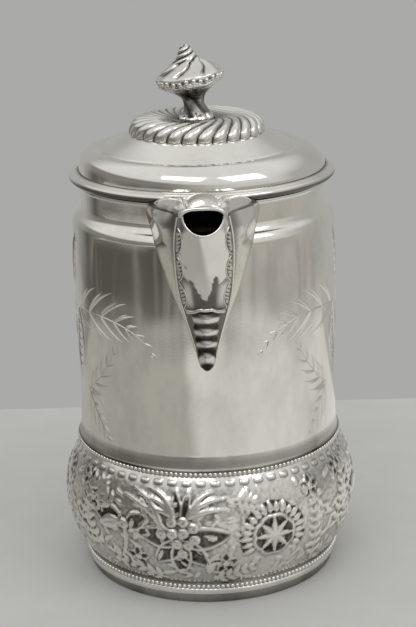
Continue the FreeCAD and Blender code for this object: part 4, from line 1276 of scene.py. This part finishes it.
# Room: a light ceiling, a grey wall behind the pot, and a dim side behind the camera, lighter on the right.
# The camera sees one even grey past the table's edge, and the metal mirrors the rest.
BACK_WALL = (0.4, 0.92, 0.0)
world = bpy.data.worlds.new("grey_room")
bpy.context.scene.world = world
world.use_nodes = True
tree = world.node_tree
tree.nodes.clear()
place = add_node(tree, "TexCoord").outputs["Generated"]
split = add_node(tree, "SeparateXYZ", {"Vector": place})
side, height = split.outputs["X"], split.outputs["Z"]
behind = add_node(tree, "VectorMath", {0: place, 1: BACK_WALL}, operation="DOT_PRODUCT").outputs["Value"]
blotches = add_node(tree, "TexNoise", {"Vector": place, "Scale": 2.6, "Detail": 1.0})
dim = layered(tree, colour("#494744"), [(blotches, 0.42, 0.6, colour("#85827d"))])
wall = layered(tree, colour("#86837e"), [(side, -0.6, 0.5, colour("#d6d4cf"))])
room_layers = [
    (height, -0.24, 0.08, wall),
    (height, 0.3, 0.42, colour("#dededc")),
    (behind, 0.1, 0.5, colour("#b0b0ad")),
    (height, 0.45, 0.75, colour("#e6e6e4")),
]
room = layered(tree, dim, room_layers)
seen = add_node(tree, "LightPath").outputs["Is Camera Ray"]
backdrop = add_node(tree, "Mix", {"Factor": seen, 6: room, 7: colour("#aaaaa8")}, data_type="RGBA")
sky = add_node(tree, "Background", {"Color": backdrop.outputs[2], "Strength": 1.0})
add_node(tree, "OutputWorld", {"Surface": sky})

# Lamps: two large soft panels that stand high on the dim side of the room and face the pot.
# They give the bright bars on the lid and soft shadows on the table.
LAMP_AWAY = 1.6
LAMP_SIZE = (0.9, 0.6)
LAMP_WATTS = 3.0
aim = Vector((0, 0, 0.2))
for name, turn, height in (("left_panel", -20, 50), ("right_panel", 50, 48)):
    flat_away = LAMP_AWAY * math.cos(math.radians(height))
    x, y = flat_away * math.sin(math.radians(turn)), -flat_away * math.cos(math.radians(turn))
    lamp = bpy.data.lights.new(name, "AREA")
    lamp.shape, lamp.energy = "RECTANGLE", LAMP_WATTS
    lamp.size, lamp.size_y = LAMP_SIZE
    light = bpy.data.objects.new(name, lamp)
    bpy.context.collection.objects.link(light)
    light.location = aim + Vector((x, y, LAMP_AWAY * math.sin(math.radians(height))))
    light.rotation_euler = (aim - light.location).to_track_quat("-Z", "Y").to_euler()

# Camera: a long lens in front of the spout and a little above the lid, looking down at the pot.
# It is rolled slightly, so the pot leans a touch in the picture.
lens = bpy.data.cameras.new("camera")
lens.lens, lens.sensor_width = 95.37, 36.0
camera = bpy.data.objects.new("camera", lens)
bpy.context.collection.objects.link(camera)
camera.location = (0.0, -0.814, 0.382)
pitch, roll, yaw = math.radians(17.13), math.radians(-1.56), math.radians(0.08)
look = Vector((math.sin(yaw) * math.cos(pitch), math.cos(yaw) * math.cos(pitch), -math.sin(pitch)))
level = Vector((math.cos(yaw), -math.sin(yaw), 0))
above = level.cross(look)
right = level * math.cos(roll) + above * math.sin(roll)
up = above * math.cos(roll) - level * math.sin(roll)
camera.rotation_euler = Matrix((right, up, -look)).transposed().to_euler()
scene = bpy.context.scene
scene.camera = camera
scene.view_settings.view_transform = "Standard"
